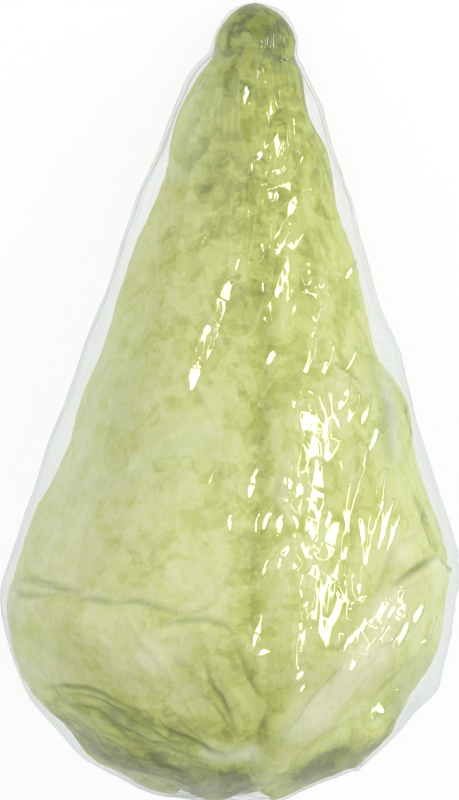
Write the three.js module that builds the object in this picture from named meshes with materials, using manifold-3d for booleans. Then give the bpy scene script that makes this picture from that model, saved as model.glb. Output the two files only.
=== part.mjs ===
// A pointed cabbage in a clear film wrap, lying on its side.
//
// Millimetres, +Z up. The cabbage points along +Y, and its origin is on the surface it lies on,
// under the middle of the part. Every leaf is wrapped over the leaves below it: the head is a stack
// of thin shells on one grid of rows (base to tip) and columns (round the head), and each leaf is
// its shell cut to the leaf's outline.

import * as THREE from "three";
import { mergeVertices } from "three/addons/utils/BufferGeometryUtils.js";
import Module from "manifold-3d";

const wasm = await Module();
wasm.setup();

// The packed inner leaves, as half a cross-section: [radius, distance from the base].
const HEART_PROFILE = [
  [0, 16.5],
  [22, 17.5],
  [43, 24],
  [54, 37.5],
  [58, 60],
  [50, 98],
  [37, 138],
  [22.5, 186],
  [14.5, 220],
  [10.2, 231.5],
  [10.6, 238],
  [7, 244.5],
  [0, 246.5],
];
const FLATNESS = 0.92; // height of the head's cross-section over its width
const ROWS = 24; // steps along the profile, from base to tip
const COLUMNS = 20; // steps round the head

const LEAF_THICKNESS = 0.9;
const GAP = 0.4; // air between one piece and the next
const RIB_HEIGHT = 2.6; // how far a midrib stands out of its leaf at the stem
const RIB_HALF_WIDTH = 9;
const RIB_FADE = 90; // distance up the leaf over which the midrib thins

const FILM_THICKNESS = 0.5;
const FILM_SLACK = 0.6; // air between the highest leaf of a row and the film
const FILM_BRIDGE = 2; // columns to each side whose leaves hold the film up
const FILM_GATHER_ROWS = 2; // rows at the base where the film is drawn together
const FILM_HOLE_RADIUS = 4; // the film's gathered end is open in the middle

const STEM_RADIUS = 13;
const STEM_BASE = 5; // where the stem is cut, a little inside the leaves' bases
const STEM_CHAMFER = 1;
const STEM_SHOULDER = 28.5; // the core tapers inside the heart from here
const STEM_TIP_RADIUS = 7;
const STEM_TIP = 85; // how far from the base the core reaches
const STEM_TIP_ROUND = 4; // length of its blunt end
const LEAF_ROOT_RADIUS = STEM_RADIUS + 2.2; // leaves start this far from the head's axis

const PRESS_AT_BELLY = 6; // how far the film is pressed flat against the surface
const PRESS_AT_TIP = 2;
const BELLY = 60; // distance from the base to the widest place
const NECK = 235;

// The leaves from the innermost to the outermost. Angles are in degrees from straight up, positive
// towards +X. mid is the midrib's angle at the stem, turn its change over 100 mm, left and right
// the blade's half widths, top the distance from the base to the leaf's end, root the share of
// the width that the leaf has at the stem, and widest where the blade is widest, as a share of top.
const LEAVES = [
  { name: "tip_leaf_back", mid: 165, turn: 0, left: 118, right: 118, top: 242, root: 0.4, widest: 0.45 },
  { name: "tip_leaf_front", mid: 8, turn: 0, left: 118, right: 118, top: 230, root: 0.4, widest: 0.45 },
  { name: "under_leaf", mid: 182, turn: 0, left: 78, right: 78, top: 190, root: 0.45, widest: 0.5 },
  { name: "back_leaf_right", mid: 128, turn: 3, left: 80, right: 72, top: 212, root: 0.45, widest: 0.5 },
  { name: "back_leaf_left", mid: -122, turn: 0, left: 72, right: 72, top: 206, root: 0.45, widest: 0.5 },
  { name: "outer_leaf_back", mid: -158, turn: 0, left: 80, right: 82, top: 128, root: 0.5, widest: 0.6 },
  { name: "left_leaf", mid: -72, turn: -4, left: 70, right: 62, top: 186, root: 0.45, widest: 0.5 },
  { name: "centre_leaf", mid: -6, turn: 4, left: 62, right: 60, top: 190, root: 0.45, widest: 0.5 },
  { name: "right_leaf", mid: 29, turn: 6, left: 26, right: 74, top: 204, root: 0.5, widest: 0.5 },
  { name: "side_leaf_right", mid: 70, turn: 10, left: 32, right: 52, top: 143, root: 0.5, widest: 0.55 },
  { name: "front_leaf", mid: 25, turn: 4, left: 21, right: 23, top: 133, root: 0.6, widest: 0.6 },
  { name: "outer_leaf_left", mid: -10, turn: -92, left: 58, right: 55, top: 64, root: 0.5, widest: 0.62 },
  { name: "outer_leaf_right", mid: 19, turn: 50, left: 13, right: 76, top: 76, root: 1, widest: 0.55 },
];
const TIP_ROUNDNESS = 2.4; // power of the curve that rounds off a leaf's end
const LEAST_HALF_WIDTH = 5; // degrees, at a leaf's very end
const SPARE_ANGLE = 4; // degrees round a leaf that the leaves over it clear too
const SPARE_SHARE = 0.03; // and the share of its length beyond its ends
const CUTTER_ACROSS = 8;
const CUTTER_ALONG = 14;
const CUTTER_REACH = 30; // how far a leaf's cutter stands out of the heart at the base
const CUTTER_REACH_AT_TIP = 9;
const CUTTER_DEPTH = 12; // and how far it goes into it,
const CUTTER_DEPTH_SHARE = 0.6; // at most this share of the heart's radius
const MARK_STEP = 0.01; // spacing of the points that mark what a leaf touches
const SEARCH_STEPS = 40; // halvings of a search along the profile
const TANGENT_STEP = 1e-4; // share of the profile over which its direction is taken

const degrees = THREE.MathUtils.degToRad;
const clamp = THREE.MathUtils.clamp;

// --- The head's shape -------------------------------------------------------------------------

const profile = new THREE.SplineCurve(HEART_PROFILE.map(([r, s]) => new THREE.Vector2(r, s)));

// Radius, distance from the base, and the outward normal at a share t of the way up the profile.
function stationAt(t) {
  const point = profile.getPoint(t);
  const ahead = profile.getPoint(Math.min(1, t + TANGENT_STEP));
  const behind = profile.getPoint(Math.max(0, t - TANGENT_STEP));
  const along = ahead.sub(behind).normalize();
  if (t === 0) along.set(1, 0); // the head closes square to its axis
  if (t === 1) along.set(-1, 0);
  return { radius: point.x, distance: point.y, outRadius: along.y, outDistance: -along.x };
}

const stations = Array.from({ length: ROWS + 1 }, (_, row) => stationAt(row / ROWS));

// The share t between low and high at which a point of the profile stops being short.
function search(low, high, short) {
  for (let i = 0; i < SEARCH_STEPS; i++) {
    const middle = (low + high) / 2;
    if (short(profile.getPoint(middle))) low = middle;
    else high = middle;
  }
  return high;
}

// The share t at which the leaves leave the stem.
const ROOT = search(0, 1 / HEART_PROFILE.length, ({ x }) => x < LEAF_ROOT_RADIUS);

// The share t at which the profile reaches a distance from the base.
function shareAt(distance) {
  return search(ROOT, 1, ({ y }) => y < distance);
}

// --- The stack of leaves ----------------------------------------------------------------------

// Half width in degrees of a leaf at a share q of its length, for its full half width.
function halfWidth(leaf, full, share) {
  const q = clamp(share, 0, 1);
  const opening = Math.sin((Math.PI / 2) * Math.min(1, q / leaf.widest));
  const end = clamp((q - leaf.widest) / (1 - leaf.widest), 0, 1);
  const rounded = (1 - end ** TIP_ROUNDNESS) ** (1 / TIP_ROUNDNESS);
  return Math.max(LEAST_HALF_WIDTH, full * (leaf.root + (1 - leaf.root) * opening) * rounded);
}

// A point of a leaf, from its share q of the length and p from -1 (left edge) to 1 (right edge).
function leafPoint(leaf, q, p, spare = 0) {
  const t = THREE.MathUtils.lerp(ROOT, shareAt(leaf.top), q);
  const distance = profile.getPoint(t).y;
  const width = halfWidth(leaf, p < 0 ? leaf.left : leaf.right, q) + spare;
  return { t, angle: midribAngle(leaf, distance) + p * width };
}

function midribAngle(leaf, distance) {
  return leaf.mid + (leaf.turn * distance) / 100;
}

// How far a leaf's midrib stands out at a row and column of the grid.
function ribAt(leaf, row, column) {
  const { radius, distance } = stations[row];
  const away = (column * 360) / COLUMNS - midribAngle(leaf, distance);
  const arc = degrees(Math.abs(((away + 540) % 360) - 180)) * radius;
  return RIB_HEIGHT * Math.exp(-distance / RIB_FADE) * Math.exp(-((arc / RIB_HALF_WIDTH) ** 2));
}

// Marks 1 on every grid point of each cell that the leaf touches, or all but touches.
function touchedBy(leaf) {
  const marks = grid(() => 0);
  for (let q = -SPARE_SHARE; q <= 1 + SPARE_SHARE; q += MARK_STEP) {
    for (let p = -1; p <= 1; p += MARK_STEP) {
      const { t, angle } = leafPoint(leaf, q, p, SPARE_ANGLE);
      const row = clamp(Math.floor(t * ROWS), 0, ROWS - 1);
      const column = Math.floor((((angle + 720) % 360) / 360) * COLUMNS);
      for (const r of [row, row + 1]) {
        for (const c of [column, column + 1]) marks[r][c % COLUMNS] = 1;
      }
    }
  }
  return marks;
}

function grid(value) {
  return Array.from({ length: ROWS + 1 }, (_, row) =>
    Array.from({ length: COLUMNS }, (_, column) => value(row, column)),
  );
}

// Each leaf's inner and outer surface, as heights over the heart, and the height of the stack.
let stack = grid(() => 0);
const shells = LEAVES.map((leaf) => {
  const covered = touchedBy(leaf);
  const inner = grid((r, c) => stack[r][c] + GAP);
  const outer = grid((r, c) => inner[r][c] + LEAF_THICKNESS + covered[r][c] * ribAt(leaf, r, c));
  const below = stack;
  stack = grid((r, c) => (covered[r][c] ? outer[r][c] : below[r][c]));
  return { leaf, inner, outer };
});

// The film bridges the hollows: it clears the highest leaf of the rows and columns beside it, and
// at the stem the highest of all.
const filmOuter = grid((row, column) => {
  const reach = row < FILM_GATHER_ROWS ? COLUMNS / 2 : FILM_BRIDGE;
  let highest = 0;
  for (const heights of stack.slice(Math.max(0, row - 1), row + 2)) {
    for (let step = -reach; step <= reach; step++) {
      highest = Math.max(highest, heights[(column + step + COLUMNS) % COLUMNS]);
    }
  }
  return highest + GAP + FILM_SLACK + FILM_THICKNESS;
});

// --- How the head lies ------------------------------------------------------------------------

const bellyRow = Math.round(shareAt(BELLY) * ROWS);
const neckRow = Math.round(shareAt(NECK) * ROWS);
const bellyDepth = depthBelow(bellyRow);
const neckDepth = depthBelow(neckRow);
const drop = bellyDepth - neckDepth - (PRESS_AT_BELLY - PRESS_AT_TIP);
const TILT = Math.atan2(drop, stations[neckRow].distance - stations[bellyRow].distance);
const LIFT =
  bellyDepth * Math.cos(TILT) + stations[bellyRow].distance * Math.sin(TILT) - PRESS_AT_BELLY;

// How far the film reaches below the head's axis at a row.
function depthBelow(row) {
  return FLATNESS * (stations[row].radius + filmOuter[row][COLUMNS / 2]);
}

// A point over the heart, in the head's own frame: +Y to the tip, +Z up. Where it would sink below
// its clearance from the surface that the part lies on, it is pressed in.
function pointOver(station, angle, height, clearance = -Infinity) {
  const distance = station.distance + height * station.outDistance;
  let radius = station.radius + height * station.outRadius;
  const up = FLATNESS * Math.cos(angle);
  const lowest = (clearance - LIFT + distance * Math.sin(TILT)) / Math.cos(TILT);
  if (up < 0 && radius * up < lowest) radius = Math.max(0, lowest / up);
  return new THREE.Vector3(radius * Math.sin(angle), distance, radius * up);
}

// --- Solids -----------------------------------------------------------------------------------

function solidFrom(geometry) {
  geometry.deleteAttribute("normal");
  geometry.deleteAttribute("uv");
  const merged = mergeVertices(geometry, 1e-4);
  return new wasm.Manifold(
    new wasm.Mesh({
      numProp: 3,
      vertProperties: merged.attributes.position.array,
      triVerts: new Uint32Array(merged.index.array),
    }),
  );
}

function geometryOf(solid) {
  const { vertProperties, triVerts } = solid.getMesh();
  const geometry = new THREE.BufferGeometry();
  geometry.setAttribute("position", new THREE.BufferAttribute(vertProperties, 3));
  geometry.setIndex(new THREE.BufferAttribute(triVerts, 1));
  geometry.computeVertexNormals();
  return geometry;
}

// The closed body inside a surface whose heights over the heart are given on the grid.
function bodyUnder(heights) {
  const outline = stations.map(({ radius, distance }) => new THREE.Vector2(radius, distance));
  const lathe = new THREE.LatheGeometry(outline, COLUMNS);
  const positions = lathe.attributes.position;
  for (let i = 0; i < positions.count; i++) {
    const row = i % (ROWS + 1);
    const column = Math.floor(i / (ROWS + 1)) % COLUMNS;
    const pole = row === 0 || row === ROWS;
    const height = pole ? Math.max(...heights[row]) : heights[row][column];
    const clearance = filmOuter[row][column] - height;
    const angle = (2 * Math.PI * column) / COLUMNS;
    const point = pointOver(stations[row], angle, height, clearance);
    if (pole) point.setX(0).setZ(0);
    positions.setXYZ(i, point.x, point.y, point.z);
  }
  return solidFrom(lathe);
}

// A thick block, bent to a leaf's outline, that cuts the leaf out of its shell.
function cutterFor(leaf) {
  const block = new THREE.BoxGeometry(2, 1, 1, CUTTER_ACROSS, CUTTER_ALONG, 1);
  const positions = block.attributes.position;
  for (let i = 0; i < positions.count; i++) {
    const along = positions.getY(i) + 0.5;
    const q = (1 - Math.cos(Math.PI * along)) / 2; // closer rows where the outline rounds off
    const { t, angle } = leafPoint(leaf, q, positions.getX(i));
    const station = stationAt(t);
    const depth = Math.min(CUTTER_DEPTH, CUTTER_DEPTH_SHARE * station.radius);
    const reach = THREE.MathUtils.lerp(CUTTER_REACH, CUTTER_REACH_AT_TIP, t);
    const point = pointOver(station, degrees(angle), positions.getZ(i) > 0 ? reach : -depth);
    positions.setXYZ(i, point.x, point.y, point.z);
  }
  const cutter = solidFrom(block);
  if (cutter.volume() > 0) return cutter;
  throw new Error(leaf.name + ": its cutter is inside out");
}

function leafSolid({ leaf, inner, outer }) {
  return bodyUnder(outer).subtract(bodyUnder(inner)).intersect(cutterFor(leaf));
}

// The stem's stump and the core that tapers into the heart, with room to spare round it.
function stemSolid(room) {
  const bottom = STEM_BASE + (room ? -CUTTER_DEPTH : 0);
  const outline = [
    [0, bottom],
    [STEM_RADIUS - STEM_CHAMFER + room, bottom],
    [STEM_RADIUS + room, STEM_BASE + STEM_CHAMFER],
    [STEM_RADIUS + room, STEM_SHOULDER],
    [STEM_TIP_RADIUS + room, STEM_TIP - STEM_TIP_ROUND],
    [0, STEM_TIP + room],
  ];
  const points = outline.map(([radius, distance]) => new THREE.Vector2(radius, distance));
  return solidFrom(new THREE.LatheGeometry(points, COLUMNS));
}

// The film round the whole head, open in the middle of its base.
function filmSolid() {
  const outer = bodyUnder(filmOuter);
  const inner = bodyUnder(grid((r, c) => filmOuter[r][c] - FILM_THICKNESS));
  const hole = new THREE.CylinderGeometry(FILM_HOLE_RADIUS, FILM_HOLE_RADIUS, CUTTER_DEPTH);
  hole.translate(0, stations[0].distance - Math.max(...filmOuter[0]), 0);
  return outer.subtract(inner).subtract(solidFrom(hole));
}

// --- The part ---------------------------------------------------------------------------------

const green = (colour, roughness) =>
  new THREE.MeshStandardMaterial({ color: colour, roughness, metalness: 0 });
const LEAF = green("#c3ca78", 0.55);
const TIP_LEAF = green("#9ca64e", 0.55);
const HEART = green("#d6d99a", 0.6);
const STEM = green("#e4e2c4", 0.65);
const FILM = new THREE.MeshStandardMaterial({
  color: "#eef2f2",
  roughness: 0.08,
  metalness: 0,
  transparent: true,
  opacity: 0.2,
});

const head = new THREE.Group();
const part = new THREE.Group();
part.add(head);

function add(name, solid, material) {
  const mesh = new THREE.Mesh(geometryOf(solid), material);
  mesh.name = name;
  head.add(mesh);
}

add("stem_core", stemSolid(0), STEM);
add("heart_leaves", bodyUnder(grid(() => 0)).subtract(stemSolid(GAP)), HEART);
for (const shell of shells) {
  const material = shell.leaf.name.startsWith("tip") ? TIP_LEAF : LEAF;
  add(shell.leaf.name, leafSolid(shell), material);
}
add("film_wrap", filmSolid(), FILM);

head.rotation.x = -TILT;
head.position.z = LIFT;
const middle = new THREE.Box3().setFromObject(part, true).getCenter(new THREE.Vector3());
head.position.x = -middle.x;
head.position.y = -middle.y;

export default part;
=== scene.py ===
"""A pointed cabbage in a clear film wrap, laid on its side.

Every leaf is a bent sheet laid over the leaves below it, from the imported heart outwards, and the
film is a thin clear skin stretched over them all. The head's own frame has +Y from base to tip and
+Z up; sizes in the tables below are millimetres and degrees in that frame, where an angle is 0
straight up and grows towards +X.
"""

import functools
import math

import bmesh
import bpy
import numpy as np
from mathutils import Euler, Matrix, Vector


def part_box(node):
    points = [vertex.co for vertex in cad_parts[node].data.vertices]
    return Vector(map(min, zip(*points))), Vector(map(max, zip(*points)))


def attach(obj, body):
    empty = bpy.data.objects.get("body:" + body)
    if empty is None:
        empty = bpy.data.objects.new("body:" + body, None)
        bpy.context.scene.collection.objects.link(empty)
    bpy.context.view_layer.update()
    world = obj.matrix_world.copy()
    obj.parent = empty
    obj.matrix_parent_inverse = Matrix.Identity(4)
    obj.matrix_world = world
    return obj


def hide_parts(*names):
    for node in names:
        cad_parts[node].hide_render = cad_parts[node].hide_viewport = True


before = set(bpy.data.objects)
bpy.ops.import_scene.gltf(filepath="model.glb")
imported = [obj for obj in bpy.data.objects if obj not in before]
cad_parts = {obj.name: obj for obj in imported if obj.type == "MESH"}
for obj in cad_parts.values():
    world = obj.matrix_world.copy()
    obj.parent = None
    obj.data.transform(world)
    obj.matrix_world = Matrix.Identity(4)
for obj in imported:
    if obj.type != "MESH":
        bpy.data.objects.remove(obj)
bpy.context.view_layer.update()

bl_info = {
    "name": "Pointed cabbage in film",
    "version": (1, 0, 0),
    "blender": (4, 5, 0),
    "location": "View3D > Sidebar > Cabbage",
    "description": "Builds a film-wrapped pointed cabbage round its packed frame",
    "category": "Add Mesh",
}

FILM_LOW, FILM_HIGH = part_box("film_wrap")
MM = 0.001

# --- The head's placing -----------------------------------------------------------------------

TILT = 0.26151  # radians that the head's axis dips towards the tip
AXIS_SIDE = -0.36  # where the axis starts: beside the box's middle,
AXIS_IN = 6.06  # in from its low end,
LIFT = 70.5  # and above the surface
FLATNESS = 0.95  # height of a cross-section over its width
PRESS_SOFTNESS = 2.0  # how gently the pressed flat underside begins

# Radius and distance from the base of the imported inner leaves.
HEART_PROFILE = [
    (0, 6.5), (19, 8), (30, 12.5), (44, 20.5), (54, 35), (58, 60), (50, 98), (37, 138),
    (22.5, 186), (15, 221), (11.2, 232), (11.2, 239), (8, 245.3), (0, 248),
]  # fmt: skip
ROWS = 400  # of the grid over the head, from the base to the tip,
COLUMNS = 512  # and round it
ROOT_RADIUS = 15.2  # the leaves start this far from the axis

# Half widths of the leafy head to the left and right, by distance from the base.
HEAD_SIDES = [
    (8, 31.6, 29.3), (16, 47.5, 47.8), (23, 52.1, 52.6), (31, 59.5, 54.8), (39, 64.1, 56.0),
    (47, 66.8, 63.8), (55, 70.5, 64.6), (63, 68.8, 65.5), (78, 65.2, 67.2), (94, 58.0, 61.7),
    (109, 51.7, 55.3), (125, 49.1, 53.9), (141, 42.3, 41.9), (156, 38.9, 38.4), (172, 34.6, 33.9),
    (187, 26.7, 27.6), (203, 25.6, 25.4), (219, 21.2, 15.7), (227, 16.5, 17.1), (234, 13.0, 13.9),
    (242, 13.1, 15.0), (248, 8.0, 9.5),
]  # fmt: skip
# How far the film stands off the head on each side.
FILM_GAPS = [
    (0, 0.3, 0.3), (16, 0.5, 0.5), (23, 0.3, 0.8), (31, 0.2, 1.4), (39, 0, 5.0), (47, 0, 2.8),
    (63, 1.6, 2.2), (78, 1.4, 2.8), (94, 2.4, 2.8), (109, 4.2, 1.8), (125, 3.6, 0.3),
    (141, 4.6, 4.8), (156, 3.2, 3.2), (172, 3.4, 3.2), (187, 4.7, 4.2), (203, 1.8, 1.6),
    (219, 1.2, 1.6), (227, 1.6, 0), (234, 1.2, 0), (242, 0, 0), (250, 0, 0),
]  # fmt: skip

# How far at most the film bridges the hollows, by distance from the base.
FILM_BRIDGES = [(0, 1.2), (32, 1.2), (50, 3.5), (205, 3.5), (222, 1.2), (232, 0.2), (240, 0)]
PULLS, PULL_SIZE = 16, 5  # times that the film is pulled taut, and over how far each time
FILM_CLEAR = 0.65  # how far the film stands off where it is taut,
FILM_TOUCH = 0.12  # and how near its creases come to the leaves
OUTER_HEIGHT = 8.5  # about how far the outer leaves stand over the heart
LEAF_GAP = 0.25  # between a leaf and those below it
BULGES = [(0.9, 26, 34, 1), (0.45, 11, 15, 2)]  # under the leaves: height, width, length and seed
TIP_ROLL = 1.4  # how far the leaves' rolled ends stand up at the very tip
STALK_ENDS = 3.6  # how far the thick ends of the leaf stalks stand out round the stem,
STALK_REACH = 60  # and the distance from the base that they may reach to
SHORTEST_LEAF = 60  # the least length that a leaf's veins are spread over
END_ROUND = 2.4  # how blunt a plain leaf's end is
STALK_TURN = 3  # degrees that each half of a leaf takes up at the least
SIDE_VEINS = 8  # along each half of a leaf,
VEIN_RISE = 0.42  # the share of the leaf's length that they rise to the margin,
VEIN_WIDTH = 1.5  # their width and height,
VEIN_HEIGHT = 0.35
TWIG_SIZE = 25 * 0.9  # and how fine the twigs between them are
LIFT_REACH = 6  # how far in from its edge a leaf's margin lifts
THINNING = 9  # how far in from its edge a leaf begins to thin,
EDGE_WALL = 0.2  # and the share of its thickness left at the edge
SINK = 0.45  # how far a pressed margin sinks into the leaf under it,
SINK_REACH = 8  # and how far in from its edge that begins
WALL_STEPS = 24  # thicknesses that a leaf's wall is given
FOLD_DEPTH = 0.55  # share of a drawn fold's depth that shows in a leaf,
FOLD_TAPER = 0.35  # and share of its length over which each end fades

# --- The leaves, innermost first --------------------------------------------------------------

# Edges of the leaves shaped by given points, from the stem to the leaf's end, as (angle, distance).
SIDE_LEAF_LEFT = [
    (22, 12), (28, 30), (30, 40.5), (34, 56.3), (39, 65.4), (44, 72.3), (49, 82), (49, 90), (49, 97.1),
    (52, 109.4), (52, 117.9), (56, 126.2), (75, 135.7), (86, 139.1),
]  # fmt: skip
SIDE_LEAF_RIGHT = [
    (120, 12), (124, 30), (124, 50), (123, 66), (121, 84), (118, 100), (112, 116), (102, 130), (88, 140)
]  # fmt: skip
FRONT_LEFT = [
    (13, 12), (11, 35.8), (8, 62.1), (8, 84.9), (9, 108.7), (11, 122.7), (17, 131.7), (25, 136.4),
    (30, 138.5),
]  # fmt: skip
FRONT_RIGHT = [
    (32, 12), (31, 36.6), (33, 56.3), (35, 73.8), (41, 91.4), (49, 109.4), (51, 120.7), (51, 128.9),
    (46, 136.4), (38, 139.1),
]  # fmt: skip
LOWER_LEFT_LEFT = [(-20, 4), (-52, 5), (-80, 10), (-100, 18), (-118, 27), (-128, 38)]
LOWER_LEFT_RIGHT = [
    (10, 14.4), (11, 20.8), (13, 31.2), (8, 38.9), (5, 46.2), (4, 52.9), (2, 57.1), (-2, 61.3),
    (-8, 62.9), (-17, 64.6), (-24, 65.4), (-37, 65.4), (-52, 66.1), (-65, 66.9), (-79, 66.9), (-96, 68),
    (-116, 60),
]  # fmt: skip
LOWER_RIGHT_LEFT = [
    (15, 4.1), (11, 10.3), (10, 17.4), (15, 22.3), (19, 27.8), (23, 33.5), (29, 42.1), (33, 49.6),
    (37, 57.1), (41, 65.4), (46, 70.8), (51, 74.6), (57, 76.8), (73, 79.8), (79, 77.6), (84, 73.8),
]  # fmt: skip
LOWER_RIGHT_RIGHT = [(70, -1), (88, 4), (103, 12), (113, 22), (119, 33), (120, 44), (117, 54), (108, 64)]

# A plain leaf gives mid, turn, left, right, top, root and widest as the part does: the midrib's
# angle at the stem, its turn over 100 mm, the blade's half widths, the distance to its end, the
# share of the width it has at the stem, and where it is widest. A shaped leaf gives its left and
# right edges from the stem to its end as (angle, distance). across and along count its faces.
PLAIN = {
    "turn": 0, "root": 0.45, "widest": 0.5, "across": 64, "along": 96,
    "thickness": 0.6, "rib": 1.2, "lift": 0.0, "sink": 1.0, "tone": 0.0,
}  # fmt: skip
LEAVES = {
    "tip_leaf_back": dict(PLAIN, mid=165, left=118, right=118, top=246, root=0.4, widest=0.45),
    "tip_leaf_front": dict(
        PLAIN, mid=8, left=118, right=118, top=236, root=0.4, widest=0.45, across=130, along=170, rib=0.6,
    ),
    "under_leaf": dict(PLAIN, mid=182, left=78, right=78, top=190, lift=0.3),
    "back_leaf_right": dict(PLAIN, mid=128, turn=3, left=80, right=72, top=212),
    "back_leaf_left": dict(PLAIN, mid=-122, left=72, right=72, top=206),
    "outer_leaf_back": dict(PLAIN, mid=-158, left=80, right=82, top=128, root=0.5, widest=0.6, lift=0.5),
    "left_leaf": dict(PLAIN, mid=-72, turn=-4, left=70, right=62, top=196, across=140, along=200, rib=0.7),
    "centre_leaf": dict(PLAIN, mid=-6, turn=4, left=62, right=60, top=198, across=140, along=200, rib=0.5),
    "right_leaf": dict(
        PLAIN, mid=29, turn=6, left=26, right=74, top=208, root=0.5, across=110, along=200, rib=1.0,
    ),
    "side_leaf_right": dict(
        PLAIN, across=60, along=100, left_edge=SIDE_LEAF_LEFT, right_edge=SIDE_LEAF_RIGHT,
    ),
    "front_leaf": dict(
        PLAIN, across=90, along=130, rib=0.5, sink=0.9, left_edge=FRONT_LEFT, right_edge=FRONT_RIGHT,
    ),
    "outer_leaf_left": dict(
        PLAIN, across=196, along=114, rib=0.8, lift=0.2, sink=0.6, left_edge=LOWER_LEFT_LEFT,
        right_edge=LOWER_LEFT_RIGHT,
    ),
    "outer_leaf_right": dict(
        PLAIN, across=130, along=150, rib=2.2, lift=0.1, sink=0.8, tone=-0.14, left_edge=LOWER_RIGHT_LEFT,
        right_edge=LOWER_RIGHT_RIGHT,
    ),
}  # fmt: skip

# How green a leaf is, by distance from the base: greener to the tip, which is its own colour,
# and greener at the base end, which is painted shade where it turns away from the light.
TONE_AND_BASE_SHADE = [
    (0, 0.88), (15, 0.82), (30, 0.6), (48, 0.46), (60, 0.42), (100, 0.42), (147, 0.5), (181, 0.59),
    (209, 0.69), (231, 0.84), (244, 1.0),
]  # fmt: skip
PALE_LEFT_VEIL = 0.13  # and how much paler the left side is: painted light, the pale veil that the broad lamp on that side lays over it
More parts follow.
